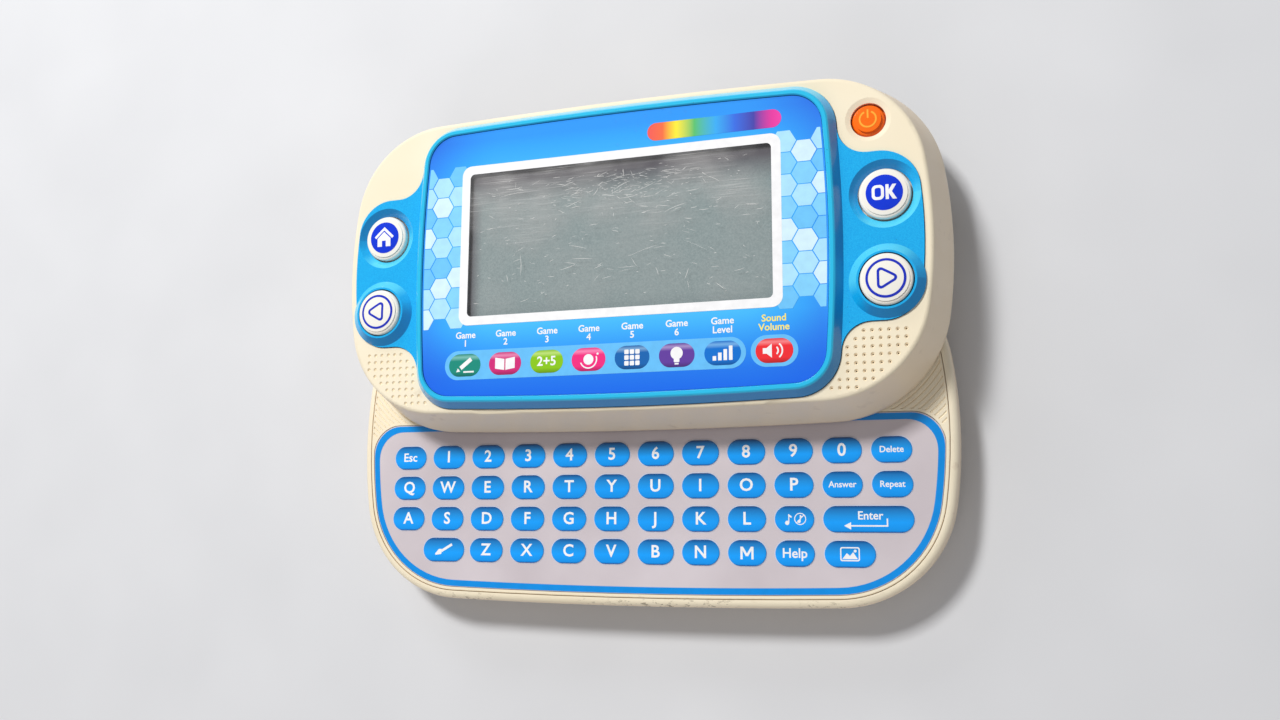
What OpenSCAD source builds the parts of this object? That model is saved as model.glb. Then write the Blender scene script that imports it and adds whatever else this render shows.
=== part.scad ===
// Toy laptop computer of the slider kind: a screen half that slides up over a flat keyboard half.
// Millimetres, +Z out of the screen, +Y toward the screen's top edge, drawn open, lying on its feet.
// x = 0 and y = 0 are the middle of the opened toy, z = 0 is the table under the feet.

/* [Case] */
// Free height between the cells and the deck
head_room = 0.7; // [0.5:0.1:3]
// Height of the cream face of the screen half above the deck
lid_h = 18.4; // [18:0.2:21]
// Slide of the screen half between open and closed
travel = 54; // [50:0.5:54.5]
// How far the screen half stands out past the keyboard half
overhang = 0.5; // [0.2:0.1:1]
// Lean of the screen half's side walls in degrees
wall_lean = 16.5; // [12:0.5:18]

/* [Screen] */
// Width of the clear window
window_w = 96.8; // [90:0.2:98]
// Depth of the clear window
window_d = 45.9; // [42:0.1:47]
// Height of the frame's rim above the wings
frame_rise = 3.2; // [2.8:0.1:3.6]

/* [Keys] */
// Key spacing along a row
key_px = 14.25; // [13.9:0.05:14.3]
// Key spacing from row to row
key_py = 9.95; // [9.6:0.05:10]
// Width of one key
key_w = 11.6; // [11:0.1:11.8]
// Depth of one key
key_d = 7.6; // [7:0.1:7.8]

/* [Buttons] */
// Radius of the four wing buttons
cap_r = 7.3; // [7:0.05:7.4]
// Radius of the power button
power_r = 4.65; // [4.4:0.05:4.8]
// Depth a button can be pressed
press = 1.2; // [0.8:0.1:1.3]
// Height of the turrets round the arrow buttons
turret_h = 2; // [1.6:0.1:2.4]

/* [Fits] */
// Free gap between pieces that move past each other
gap = 0.4; // [0.3:0.05:0.5]
// Gap round pieces that sit in a recess
seat = 0.15; // [0.1:0.05:0.2]

/* [Hidden] */
$fn = 96;
fine = 1440;                         // steps of the long, nearly straight arcs
e = 0.01;                            // overlap of pieces cut or joined

cream = [0.93, 0.89, 0.78];
tan = [0.86, 0.76, 0.62];
blue = [0.05, 0.6, 0.9];
deep_blue = [0.1, 0.35, 0.85];
lilac = [0.79, 0.76, 0.79];
white = [0.93, 0.93, 0.95];
steel = [0.72, 0.72, 0.7];
black = [0.1, 0.1, 0.11];
green = [0.1, 0.4, 0.25];

// Outlines are rounded oblongs of eight tangent arcs: bowed sides, bowed ends and round corners.
// outline = [middle of the corner arc, corner radius, vector and length from the side bow's
// middle to the corner's, the same for the end bow]; whole-number right triangles give the
// vectors, so that neighbouring arcs meet exactly
case_o = [[61.11, 16.64], 34.5, 1.28 * [84, 13], 1.28 * 85, 0.97 * [63, 1984], 0.97 * 1985];
lid_o = grown(case_o, overhang);
case_w = 2 * half_w(case_o);
case_d = 2 * half_d(case_o);

// batteries
cell_r = 5.25;
cell_l = 44.5;
cell_gap = 0.5;
cell_pitch = 2 * cell_r + cell_gap;
cell_lift = 0.2;                     // the cells lie this far above the door
door_t = 1.7;

// case heights
foot_h = 0.8;                        // feet stand out below the case
foot_in = 0.8;                       // and are let into the floor by this much
foot_r = 5;
foot_at = [[-62, -34], [62, -34], [-56, 39.5], [56, 39.5]];
floor_t = 2;
floor_z = foot_h + floor_t;
cell_z = foot_h + door_t + cell_lift + cell_r;
deck_under = cell_z + cell_r + head_room;
deck_t = 2.6;
deck_h = deck_under + deck_t;        // the keyboard deck above the table
case_wall = 2.5;
lip_r = 2.2;                         // rounding of the case's upper lip
keel_r = 6;                          // rounding of the case's lower edge
rim_in = case_wall + seat;           // deck cover starts here, inside the lip
panel_in = 3.7;                      // keyboard panel starts here
panel_top = 5.2;                     // top edge of the keyboard panel, from the case's middle
panel_r = 9.5;
panel_deep = 1.2;
film_t = 0.3;
sheet_t = 0.45;
key_rise = 0.2;

// arc ridges on the deck's corners
ridge_n = 9;
ridge_step = 1.45;
ridge_w = 0.7;
ridge_deep = 0.35;

// runners and their slots
runner_x = 42;
runner_y0 = 13;
runner_l = 30;
stem_w = 4.4;
head_w = 9.8;
stem_in = 1;                         // the stem's ends lie this far inside the head's
head_t = 1.8;
lift = 0.5;                          // free gap between deck and screen half
back_t = 2.1;                        // thickness of the screen half's back
back_z = deck_h + lift;
slot_end = 3;
stem_h = lift + back_t + gap;        // the head passes just above the back plate

// tail of the keyboard's circuit film
tail_x = 32.5;
tail_w = 6;
tail_y0 = 1.2;
tail_y1 = 16;
tail_up = 4.2;
tail_slot_w = tail_w + 2;
tail_end_y = -22;                    // the tail's other end, on the board
tail_end = 2.5;                      // and how far it stands off the board
tail_t = 0.4;

// battery bay
bay_w = 52;
bay_d = 3 * cell_pitch + 1.5;
bay_y = 27;
bay_wall = 1.6;
door_lap = 2.2;
boss_y = bay_y - bay_d / 2 - bay_wall - 2.4;   // boss of the door's screw

// screws
screw_r = 1.3;
screw_head_r = 2.6;
screw_head_t = 0.9;
slot_deep = 0.5;                     // depth of the cross slot in a screw's head
slot_w = 0.7;
small_screw_r = 0.9;
small_screw_l = 5;
small_head_r = 2.1;
small_head_t = 1.2;
small_slot_l = 2.6;
head_in = 0.1;                       // heads lie this much below the surface
thread_in = 0.9;                     // screws bite this far into the deck
post_r = 3.4;
case_screw_in = 2.4;                 // case screws start this far up inside their posts
case_posts = [[80, -30], [-80, -30], [0, -42], [86, 8], [-86, 8], [74, 37], [-74, 37]];
lid_posts = [[54, -42.2], [-54, -42.2], [88, -2], [-88, -2], [60, 42.2], [-60, 42.2]];
board_posts = [[66, 30], [-66, 30], [66, -18], [-66, -18]];

// screen half heights above the deck plane
face_z = deck_h + lid_h;
face_t = 2.6;
face_under = face_z - face_t;
shell_wall = 2;
edge_r = 1.4;                        // rounding between side wall and face
knee = 3;                            // the wall stands upright up to here
bezel_deep = 1.2;
wing_rise = 0.6;
wing_z = face_z + wing_rise;
frame_o = [[53.9, 32.75], 13, 1.31 * [312, 25], 1.31 * 313, 0.98 * [55, 1512], 0.98 * 1513];
frame_y = -0.3;
frame_slope = 2;                     // horizontal run of the frame's outer slope
frame_rim = 1.3;
plate_in = frame_slope + frame_rim + 0.3;
plate_t = 1;
plate_z = wing_z + frame_rise - 0.7; // top of the faceplate
ledge_z = plate_z - plate_t;
wing_in = 6.9;                       // the wings' outer sides lie this far inside the outline
wing_top = 23.3;
wing_low = -25.4;
wing_up_r = 11.5;                    // outer corners of the wings
wing_low_r = 10.5;
wing_fillet = 8.5;
window_y = 5.25;
window_r = 1.5;
pane_t = 1.2;
pane_lap = 1.4;

// picture strip under the faceplate
icon_y = -33;
icon_w = 116;
icon_d = 13;
icon_r = 3;
icon_in = 0.4;

// boards
board_in = 8.5;                      // the board's edge inside the screen half's outline
board_low = -25;
board_high = 40;
board_t = 1.6;
board_post_r = 2.6;
chip_x = -20;
chip_y = 8;
chip_r = 7.5;
chip_rise = 1.3;
board_z = face_under - 5.4;
board_top = board_z + board_t;

// buttons
button_in = 17.4;                    // the wing buttons lie this far inside the outline
button_x = half_w(lid_o) - button_in;
home_y = 10.7;
arrow_y = -14.4;
power_x = 75.9;
power_y = 33.1;
flange_r = cap_r + 1.5;
flange_t = 1.4;
flange_top = face_under - 0.3;
pad_t = flange_top - flange_t - board_top;
pad_r = 5.4;
power_pad_r = 4.4;
pad_lean = 1.6;
pad_wall = 0.9;
dish_r = 10;                         // hollow round the home and OK buttons
dish_deep = 1.6;
turret_foot = 3.3;                   // the turrets' feet stand out round the arrow buttons
turret_lip = 0.6;
bowl_r = 6.5;                        // hollow round the power button
bowl_deep = 1.5;
bowl_ball = (bowl_r * bowl_r + bowl_deep * bowl_deep) / (2 * bowl_deep);
bowl_z = bowl_ball - bowl_deep;
home_top = face_z + 1.8;
arrow_top = wing_z + turret_h + 1.9;
power_top = face_z + 0.3;
dome_r = 32;
cap_edge = 0.9;                      // rounding of a cap's edge
cap_fall = 1.9;                      // the cap's straight side ends this far below its top

// speaker holes
hole_px = 2.31;
hole_py = 2.26;
hole_x = 63.9;
hole_y = -28;
hole_rows = [[4, 9], [3, 9], [2, 9], [2, 8], [2, 7], [2, 6], [1, 5], [0, 3]];
speaker_x = 72;
speaker_y = -33.5;
speaker_r = 8;
speaker_rim = 1.2;
speaker_basket = 3.2;
speaker_deep = 5;
magnet_r = 5.5;
hole_r = 0.22;                       // sound holes, each in a shallow pit
pit_r = 0.62;
pit_deep = 0.5;

function grown(o, d) = [o[0], o[1] + d, o[2], o[3], o[4], o[5]];
function side_r(o) = o[3] + o[1];
function end_r(o) = o[5] + o[1];
function half_w(o) = o[0][0] - o[2][0] + side_r(o);
function half_d(o) = o[0][1] - o[4][1] + end_r(o);

module both_sides() {
    for (m = [0, 1]) mirror([m, 0, 0]) children();
}

module at_case() {
    translate([0, -(travel + overhang) / 2, 0]) children();
}

module at_lid() {
    translate([0, (travel - overhang) / 2, 0]) children();
}

// the fan of a corner between its two tangent points
module corner_fan(o) {
    c = o[0];
    polygon([c, c + 2 * o[2], c + 2 * o[2] + 0.2 * o[4], c + 0.2 * o[4]]);
}

// flat outline with four bowed edges and four round corners, d inside the full size
module flat(o, d = 0) {
    difference() {
        intersection() {
            translate([o[0][0] - o[2][0], 0]) circle(side_r(o) - d, $fn = fine);
            translate([o[2][0] - o[0][0], 0]) circle(side_r(o) - d, $fn = fine);
            translate([0, o[0][1] - o[4][1]]) circle(end_r(o) - d, $fn = fine);
            translate([0, o[4][1] - o[0][1]]) circle(end_r(o) - d, $fn = fine);
        }
        for (m = [0, 1], n = [0, 1]) mirror([m, 0]) mirror([0, n]) difference() {
            corner_fan(o);
            translate(o[0]) circle(o[1] - d);
        }
    }
}

module slab(o, d, z, t) {
    translate([0, 0, z]) linear_extrude(height = t) flat(o, d);
}

module arc_sweep(c, r, a0, a1) {
    translate([c[0], c[1], 0]) rotate([0, 0, a0])
    rotate_extrude(angle = a1 - a0) translate([r, 0]) children();
}

// a full ring of the children's section, kept only inside the fan drawn by its three points
module ring_piece(c, r, p, q) {
    intersection() {
        translate([c[0], c[1], 0]) rotate_extrude($fn = r > 100 ? 720 : 96) translate([r, 0]) children();
        linear_extrude(height = 4 * deck_h) polygon([c, p, q]);
    }
}

// the children's section carried round the whole outline, x = 0 on the outline
module rim(o) {
    a = [o[0][0] - o[2][0], 0];
    b = [0, o[0][1] - o[4][1]];
    both_sides() {
        ring_piece(a, side_r(o), a + 2 * [o[2][0], -o[2][1]], a + 2 * o[2]) children();
        for (n = [0, 1]) mirror([0, n, 0])
            ring_piece(o[0], o[1], o[0] + 2 * o[2], o[0] + 0.2 * o[4]) children();
    }
    for (n = [0, 1]) mirror([0, n, 0])
        ring_piece(b, end_r(o), b + 2 * o[4], b + 2 * [-o[4][0], o[4][1]]) children();
}

// section to cut away for a rounding r of an upper edge at height z
module upper_cut(z, r) {
    translate([-r, z - r]) difference() {
        square([r + 1, r + 1]);
        circle(r);
    }
}

// the same for a lower edge
module lower_cut(z, r) {
    translate([-r, z + r]) difference() {
        translate([0, -r - 1]) square([r + 1, r + 1]);
        circle(r);
    }
}

module round_box(w, d, r) {
    square([w - 2 * r, d], center = true);
    square([w, d - 2 * r], center = true);
    for (x = [-1, 1], y = [-1, 1]) translate([x * (w / 2 - r), y * (d / 2 - r)]) circle(r);
}

module pill(w, d) {
    square([w - d, d], center = true);
    for (x = [-1, 1]) translate([x * (w - d) / 2, 0]) circle(d / 2);
}

module screw(z, l) {
    translate([0, 0, z]) difference() {
        union() {
            cylinder(h = screw_head_t, r = screw_head_r);
            cylinder(h = l, r = screw_r);
        }
        for (a = [0, 90]) rotate([0, 0, a])
            translate([-screw_head_r * 0.6, -slot_w / 2, -e])
                cube([screw_head_r * 1.2, slot_w, slot_deep + e]);
    }
}

// ---- keyboard half ----

module case_posts_2d(r) {
    for (p = case_posts) translate(p) circle(r);
}

module bay_box(grow, z, t) {
    translate([0, bay_y, z]) linear_extrude(height = t)
        square([bay_w + 2 * grow, bay_d + 2 * grow], center = true);
}

module foot_spots() {
    for (p = foot_at) translate([p[0], p[1], 0]) children();
}

module case_body() {
    difference() {
        slab(case_o, 0, foot_h, deck_h - foot_h);
        rim(case_o) upper_cut(deck_h, lip_r);
        rim(case_o) lower_cut(foot_h, keel_r);
        slab(case_o, case_wall, floor_z + 3, deck_h);
        slab(case_o, case_wall + 2, floor_z, deck_h);
    }
}

module base_case() {
    color(cream) at_case() {
        difference() {
            union() {
                case_body();
                translate([0, 0, floor_z - e]) linear_extrude(height = deck_under - floor_z + e)
                    case_posts_2d(post_r);
                bay_box(bay_wall, floor_z - e, deck_under - gap - floor_z);
                door_boss(post_r, floor_z - e, 5);
            }
            bay_box(0, floor_z - 3, deck_h);
            bay_box(door_lap, foot_h - e, door_t + e);
            door_boss(post_r + door_lap + seat, foot_h - e, door_t + e);
            door_boss(screw_r + 0.1, foot_h, 6);
            for (p = case_posts) translate(p) {
                translate([0, 0, foot_h - e])
                    cylinder(h = case_screw_in + screw_head_t + e, r = screw_head_r + 0.2);
                cylinder(h = deck_h, r = screw_r + 0.1);
            }
            foot_spots() translate([0, 0, foot_h - e]) cylinder(h = foot_in + e, r = foot_r + seat);
        }
    }
}

module door_boss(r, z, t) {
    translate([0, boss_y, z]) cylinder(h = t, r = r);
}

module panel_2d(d) {
    y0 = -case_d;
    w = case_w - 2 * d;
    intersection() {
        flat(case_o, d);
        union() {
            translate([0, (y0 + panel_top - panel_r) / 2 + (panel_in - d) / 2])
                square([w, panel_top - panel_r - y0 + panel_in - d], center = true);
            translate([0, panel_top + panel_in - d - panel_r])
                square([w - 2 * panel_r, 2 * panel_r], center = true);
            for (x = [-1, 1]) translate([x * (w / 2 - panel_r), panel_top + panel_in - d - panel_r])
                circle(panel_r);
        }
    }
}

module deck_cover() {
    color(cream) at_case() {
        difference() {
            union() {
                difference() {
                    slab(case_o, rim_in, deck_under, deck_t);
                    rim(grown(case_o, -rim_in)) upper_cut(deck_h, 0.4);
                }
                translate([0, 0, deck_under - 2]) linear_extrude(height = 2 + e) difference() {
                    flat(case_o, rim_in + 0.6);
                    flat(case_o, rim_in + 2);
                    case_posts_2d(post_r + 0.3);
                }
            }
            translate([0, 0, deck_h - panel_deep]) linear_extrude(height = panel_deep + e)
                panel_2d(panel_in);
            tail_slots();
            ridges();
            for (p = case_posts) translate([p[0], p[1], deck_under - e])
                cylinder(h = thread_in + 0.1 + e, r = screw_r + 0.05);
            both_sides() runner_holes(deck_under - 1, deck_t + 2);
        }
    }
}

// slots that let the keyboard's tail down under the deck and up again into the screen half
module tail_slots() {
    for (y = [tail_y0, tail_y1]) translate([tail_x, y, deck_h])
        cube([tail_w + 1, 1.2, 4 * deck_t], center = true);
}

// fine concentric grooves that follow the corner of the opened screen half
module ridges() {
    c = lid_o[0];
    intersection() {
        both_sides() for (i = [0:ridge_n - 1])
            arc_sweep([c[0], travel - c[1]], lid_o[1] + 0.9 + i * ridge_step, -85, -5)
                polygon([[-ridge_w / 2, deck_h + e], [0, deck_h - ridge_deep], [ridge_w / 2, deck_h + e]]);
        translate([0, 0, deck_h - 1]) linear_extrude(height = 2) difference() {
            flat(case_o, rim_in + 0.6);
            panel_2d(panel_in - 0.6);
        }
    }
}

// one key: [column, row, extra width]
function key_x(c) = (c - 5.535) * key_px;
function key_y(r) = -5.8 - r * key_py;

module keys_2d(grow) {
    for (r = [0, 1], c = [0:11]) key_at(c, r, 0, grow);
    for (c = [0:9]) key_at(c, 2, 0, grow);
    key_at(10.5, 2, key_px, grow);
    key_at(0.93, 3, key_w * 0.27, grow);
    for (c = [2:9]) key_at(c, 3, 0, grow);
    key_at(10.12, 3, key_w * 0.26, grow);
}

module key_at(c, r, more, grow) {
    translate([key_x(c), key_y(r)]) pill(key_w + more + 2 * grow, key_d + 2 * grow);
}

module key_overlay() {
    z = deck_h - panel_deep + 2 * film_t;
    color(lilac) at_case() {
        translate([0, 0, z]) linear_extrude(height = sheet_t) panel_2d(panel_in + seat);
        translate([0, 0, z + sheet_t - e]) linear_extrude(height = key_rise + e) keys_2d(0);
    }
}

module key_spacer() {
    color(white) at_case() translate([0, 0, deck_h - panel_deep + film_t])
        linear_extrude(height = film_t) difference() {
            panel_2d(panel_in + 0.4);
            keys_2d(-1.2);
        }
}

module key_circuit() {
    z = deck_h - panel_deep;
    low = deck_under - film_t - 0.2;
    color(green) at_case() {
        translate([0, 0, z]) linear_extrude(height = film_t) panel_2d(panel_in + 0.4);
        tail(tail_y0, low, z + film_t);
        tail(tail_y1, low, deck_h + tail_up);
        translate([tail_x - tail_w / 2, tail_y0, low]) cube([tail_w, tail_y1 - tail_y0, film_t]);
    }
}

module tail(y, z0, z1) {
    translate([tail_x - tail_w / 2, y - film_t / 2, z0]) cube([tail_w, film_t, z1 - z0]);
}

module runner_spots() {
    for (y = [6, runner_l - 6]) translate([runner_x, runner_y0 + y, 0]) children();
}

module runner_holes(z, t) {
    runner_spots() translate([0, 0, z]) cylinder(h = t, r = screw_r + 0.1);
}

module runner() {
    z = deck_h;
    difference() {
        translate([runner_x, runner_y0, 0]) {
            translate([0, stem_w / 2 + stem_in, z]) linear_extrude(height = stem_h + e)
                round_bar(stem_w, runner_l - stem_w - 2 * stem_in);
            translate([0, head_w / 2, z + stem_h]) linear_extrude(height = head_t)
                round_bar(head_w, runner_l - head_w);
        }
        runner_holes(z - e, stem_h + 0.5);
    }
}

module round_bar(w, l) {
    translate([-w / 2, 0]) square([w, l]);
    circle(w / 2);
    translate([0, l]) circle(w / 2);
}

module runner_right() {
    color(white) at_case() runner();
}

module runner_left() {
    color(white) at_case() mirror([1, 0, 0]) runner();
}

module runner_screws() {
    color(steel) at_case() both_sides() runner_spots()
        screw(deck_under - screw_head_t, screw_head_t + deck_t + stem_h);
}

module case_screws() {
    color(steel) at_case() for (p = case_posts) translate(p)
        screw(foot_h + case_screw_in, deck_under - foot_h - case_screw_in + thread_in);
}

module battery_door() {
    color(cream) at_case() difference() {
        union() {
            bay_box(door_lap - seat, foot_h, door_t - 0.1);
            door_boss(post_r + door_lap, foot_h, door_t - 0.1);
            for (i = [-1, 1]) translate([0, bay_y + i * cell_pitch / 2, foot_h + door_t - 0.1])
                cube([30, 1.2, 3], center = true);
        }
        door_boss(screw_r + 0.1, foot_h - 1, 6);
        door_boss(screw_head_r + 0.1, foot_h - e, head_in + screw_head_t + e);
        translate([0, bay_y + bay_d / 2 - 3, foot_h - e]) for (x = [-8:4:8])
            translate([x, 0, 0]) cube([1.4, 6, 0.8], center = true);
    }
}

module door_screw() {
    color(steel) at_case() translate([0, boss_y, 0])
        screw(foot_h + head_in, 5.5);
}

module cell(i) {
    flip = i == 0 ? 1 : 0;
    translate([0, bay_y + i * cell_pitch, cell_z]) mirror([flip, 0, 0]) rotate([0, 90, 0]) {
        translate([0, 0, -cell_l / 2]) cylinder(h = cell_l - 1, r = cell_r);
        translate([0, 0, cell_l / 2 - 1 - e]) cylinder(h = 1 + e, r = 1.9);
    }
}

module cell_1() {
    color(black) at_case() cell(-1);
}

module cell_2() {
    color(black) at_case() cell(0);
}

module cell_3() {
    color(black) at_case() cell(1);
}

contact_t = 0.5;
contact_h = 8;

// plate against the bay's end wall with a springy bow that reaches the cell
module contact(x, y, d) {
    reach = bay_w / 2 - cell_l / 2 - contact_t;
    translate([x * bay_w / 2, y, cell_z]) mirror([x > 0 ? 1 : 0, 0, 0]) {
        translate([0, -d / 2, -contact_h / 2]) cube([contact_t, d, contact_h]);
        for (k = d > 10 ? [-1, 1] : [0]) translate([contact_t - e, k * cell_pitch / 2, 0])
            cylinder_x(reach + e, 2.4, 1.2);
    }
}

module cylinder_x(l, r1, r2) {
    rotate([0, 90, 0]) cylinder(h = l, r1 = r1, r2 = r2);
}

module contact_plus() {
    color(steel) at_case() contact(-1, bay_y - cell_pitch, 8);
}

module contact_minus() {
    color(steel) at_case() contact(1, bay_y + cell_pitch, 8);
}

module bridge_right() {
    color(steel) at_case() contact(1, bay_y - cell_pitch / 2, 19);
}

module bridge_left() {
    color(steel) at_case() contact(-1, bay_y + cell_pitch / 2, 19);
}

module foot(i) {
    color(black) at_case() translate([foot_at[i][0], foot_at[i][1], 0]) difference() {
        cylinder(h = foot_h + foot_in, r = foot_r);
        translate([0, 0, -e]) cylinder(h = 0.3, r = foot_r - 2);
    }
}

module foot_1() {
    foot(0);
}

module foot_2() {
    foot(1);
}

module foot_3() {
    foot(2);
}

module foot_4() {
    foot(3);
}

// ---- screen half ----

wall_top = face_z - edge_r;
lean_x = -(lid_h - edge_r + edge_r * sin(wall_lean) - knee) * tan(wall_lean);
cave_in = shell_wall + (face_under - deck_h - knee) * tan(wall_lean);
edge_x = lean_x - edge_r * cos(wall_lean);

// section to cut away outside the leaning wall and its rounded upper edge
module lean_cut() {
    out = 0.05;
    low = deck_h + knee - out / tan(wall_lean);
    difference() {
        polygon([[out, low], [1, low], [1, face_z + 1], [edge_x, face_z + 1],
            [edge_x, wall_top], [lean_x, wall_top + edge_r * sin(wall_lean)]]);
        translate([edge_x, wall_top]) circle(edge_r);
    }
}

module shell_body() {
    difference() {
        slab(lid_o, 0, back_z, face_z - back_z);
        rim(lid_o) lean_cut();
        slab(lid_o, shell_wall, back_z - 1, knee + 5);
        slab(lid_o, cave_in, back_z - 1, face_under - back_z + 1);
    }
}

module wing_2d(d) {
    inset = wing_in + d;
    difference() {
        intersection() {
            flat(lid_o, inset);
            translate([-case_w, wing_low + d]) square([2 * case_w, wing_top - wing_low - 2 * d]);
        }
        both_sides() {
            wing_corner(wing_top - d, wing_up_r - d, inset, 1);
            wing_corner(wing_low + d, wing_low_r - d, inset, -1);
        }
    }
}

// what lies outside the rounding between a wing's edge at height y and its bowed outer side
module wing_corner(y, r, inset, sy) {
    ax = lid_o[0][0] - lid_o[2][0];
    reach = side_r(lid_o) - inset;
    cy = y - sy * r;
    cx = ax + sqrt(pow(reach - r, 2) - pow(cy, 2));
    u = [cx - ax, cy] / (reach - r);
    difference() {
        polygon([[cx, cy], [cx, y + sy], [cx + 3 * r, y + sy], [cx, cy] + 3 * r * u]);
        translate([cx, cy]) circle(r + e);
    }
}

// fills the inner corner between the frame's bowed side and a wing's edge at height y
module fillet_2d(y, d, sy) {
    r = wing_fillet + d;
    ax = frame_o[0][0] - frame_o[2][0];
    reach = side_r(frame_o) - d;
    cy = y - sy * d + sy * r;
    cx = ax + sqrt(pow(reach + r, 2) - pow(cy - frame_y, 2));
    u = [cx - ax, cy - frame_y] / (reach + r);
    t = [ax, frame_y] + (reach - e) * u;
    difference() {
        polygon([t, [cx, cy], [cx, y - sy * (d + e)], [t[0] - 2, y - sy * (d + e)], [t[0] - 2, t[1]]]);
        translate([cx, cy]) circle(r);
    }
}

module bezel_2d(d) {
    translate([0, frame_y]) flat(frame_o, d);
    wing_2d(d);
    both_sides() {
        fillet_2d(wing_top, d, 1);
        fillet_2d(wing_low, d, -1);
    }
}

module hole_spots() {
    for (r = [0:len(hole_rows) - 1]) for (c = [hole_rows[r][0]:hole_rows[r][1]])
        translate([hole_x + c * hole_px, hole_y - r * hole_py, face_z]) children();
}

module cap_spots(ys) {
    for (y = ys) both_sides() translate([button_x, y, 0]) children();
}

module lid_posts_2d(r) {
    for (p = lid_posts) translate(p) circle(r);
}

module front_shell() {
    color(cream) at_lid() {
        difference() {
            union() {
                shell_body();
                translate([0, 0, back_z + back_t]) linear_extrude(height = face_under - back_z - back_t + e) {
                    lid_posts_2d(post_r);
                }
                translate([0, 0, board_top]) linear_extrude(height = face_under - board_top + e)
                    for (p = board_posts) translate(p) circle(board_post_r);
            }
            translate([0, 0, face_z - bezel_deep]) linear_extrude(height = bezel_deep + e) bezel_2d(-seat);
            translate([0, window_y, face_under - 1]) linear_extrude(height = face_t + 2)
                round_box(window_w + 9, window_d + 9, 2);
            cap_spots([home_y, arrow_y]) translate([0, 0, face_under - 1])
                cylinder(h = face_t + 2, r = cap_r + gap);
            translate([power_x, power_y, face_z]) {
                translate([0, 0, -face_t - 1]) cylinder(h = face_t + 2, r = power_r + gap);
                translate([0, 0, bowl_z]) sphere(bowl_ball);
            }
            both_sides() hole_spots() translate([0, 0, -pit_deep])
                cylinder(h = pit_deep + e, r1 = hole_r + 0.05, r2 = pit_r);
            hole_spots() translate([0, 0, -face_t - 1]) cylinder(h = face_t + 1, r = hole_r);
            for (p = lid_posts) translate([p[0], p[1], back_z]) cylinder(h = 10, r = screw_r + 0.05);
            for (p = board_posts) translate([p[0], p[1], board_top - e])
                cylinder(h = small_screw_l, r = small_screw_r + 0.05);
        }
    }
}

module rear_cover() {
    color(tan) at_lid() difference() {
        union() {
            slab(lid_o, shell_wall + 0.2, back_z, back_t);
            translate([0, 0, back_z]) linear_extrude(height = back_t + 2) difference() {
                flat(lid_o, shell_wall + 0.5);
                flat(lid_o, shell_wall + 1.9);
            }
        }
        both_sides() slot(runner_x, stem_w / 2 + gap,
            runner_y0 - travel - slot_end, runner_y0 + runner_l + slot_end);
        slot_box(tail_y1 - travel - 2, tail_y1 + 2);
        for (p = lid_posts) translate([p[0], p[1], back_z - e]) {
            cylinder(h = back_t + 3, r = screw_r + 0.1);
            cylinder(h = head_in + screw_head_t + e, r = screw_head_r + 0.3);
        }
    }
}

module slot(x, r, y0, y1) {
    translate([x, y0 + r, back_z - 1]) linear_extrude(height = back_t + 2) round_bar(2 * r, y1 - y0 - 2 * r);
}

module slot_box(y0, y1) {
    translate([tail_x - tail_slot_w / 2, y0, back_z - 1]) cube([tail_slot_w, y1 - y0, back_t + 2]);
}

// raised frame with a sloping outer wall, and the ledge the faceplate lies on
module frame_body() {
    top = wing_z + frame_rise;
    rim(frame_o) polygon([[-plate_in - 2, wing_z], [0, wing_z], [-frame_slope, top - 0.3],
        [-frame_slope - 0.4, top], [-frame_slope - frame_rim, top], [-plate_in, top - 0.4],
        [-plate_in, ledge_z], [-plate_in - 2, ledge_z]]);
    slab(frame_o, plate_in + 1, wing_z - e, ledge_z - wing_z + e);
}

module bezel() {
    z0 = face_z - bezel_deep;
    color(blue) at_lid() difference() {
        union() {
            translate([0, 0, z0]) linear_extrude(height = wing_z - z0) bezel_2d(0);
            translate([0, frame_y, 0]) frame_body();
            cap_spots([arrow_y]) translate([0, 0, wing_z - e])
                cylinder(h = turret_h + e, r1 = cap_r + turret_foot, r2 = cap_r + gap + turret_lip);
        }
        translate([0, window_y, z0 - 1]) linear_extrude(height = 10)
            round_box(window_w + 2 * pane_lap + 2.6, window_d + 2 * pane_lap + 2.6, 1.5);
        cap_spots([home_y, arrow_y]) translate([0, 0, z0 - 1]) cylinder(h = 12, r = cap_r + gap);
        cap_spots([home_y]) translate([0, 0, wing_z - dish_deep])
            cylinder(h = dish_deep + e, r1 = cap_r + gap, r2 = dish_r);
        translate([0, icon_y, ledge_z - icon_in]) linear_extrude(height = icon_in + e)
            round_box(icon_w + 2 * seat, icon_d + 2 * seat, icon_r);
    }
}

module faceplate() {
    color(deep_blue) at_lid() difference() {
        translate([0, frame_y, 0]) slab(frame_o, plate_in + seat, ledge_z, plate_t);
        translate([0, window_y, ledge_z - 1]) linear_extrude(height = 3)
            round_box(window_w, window_d, window_r);
        translate([0, window_y, ledge_z - 1]) linear_extrude(height = 1 + 0.4)
            round_box(window_w + 2 * pane_lap, window_d + 2 * pane_lap, window_r);
    }
}

module window_pane() {
    color([0.8, 0.85, 0.85, 0.4]) at_lid() translate([0, window_y, 0]) {
        translate([0, 0, ledge_z]) linear_extrude(height = plate_t - 0.1)
            round_box(window_w - 0.1, window_d - 0.1, window_r - 0.05);
        translate([0, 0, ledge_z - 0.3]) linear_extrude(height = 0.7)
            round_box(window_w + 2 * pane_lap - 0.2, window_d + 2 * pane_lap - 0.2, window_r);
    }
}

module lcd_panel() {
    color([0.5, 0.58, 0.55]) at_lid() translate([0, window_y, ledge_z - 0.7 - 1.9])
        linear_extrude(height = 1.9) square([window_w + 2, window_d + 2], center = true);
}

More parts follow.
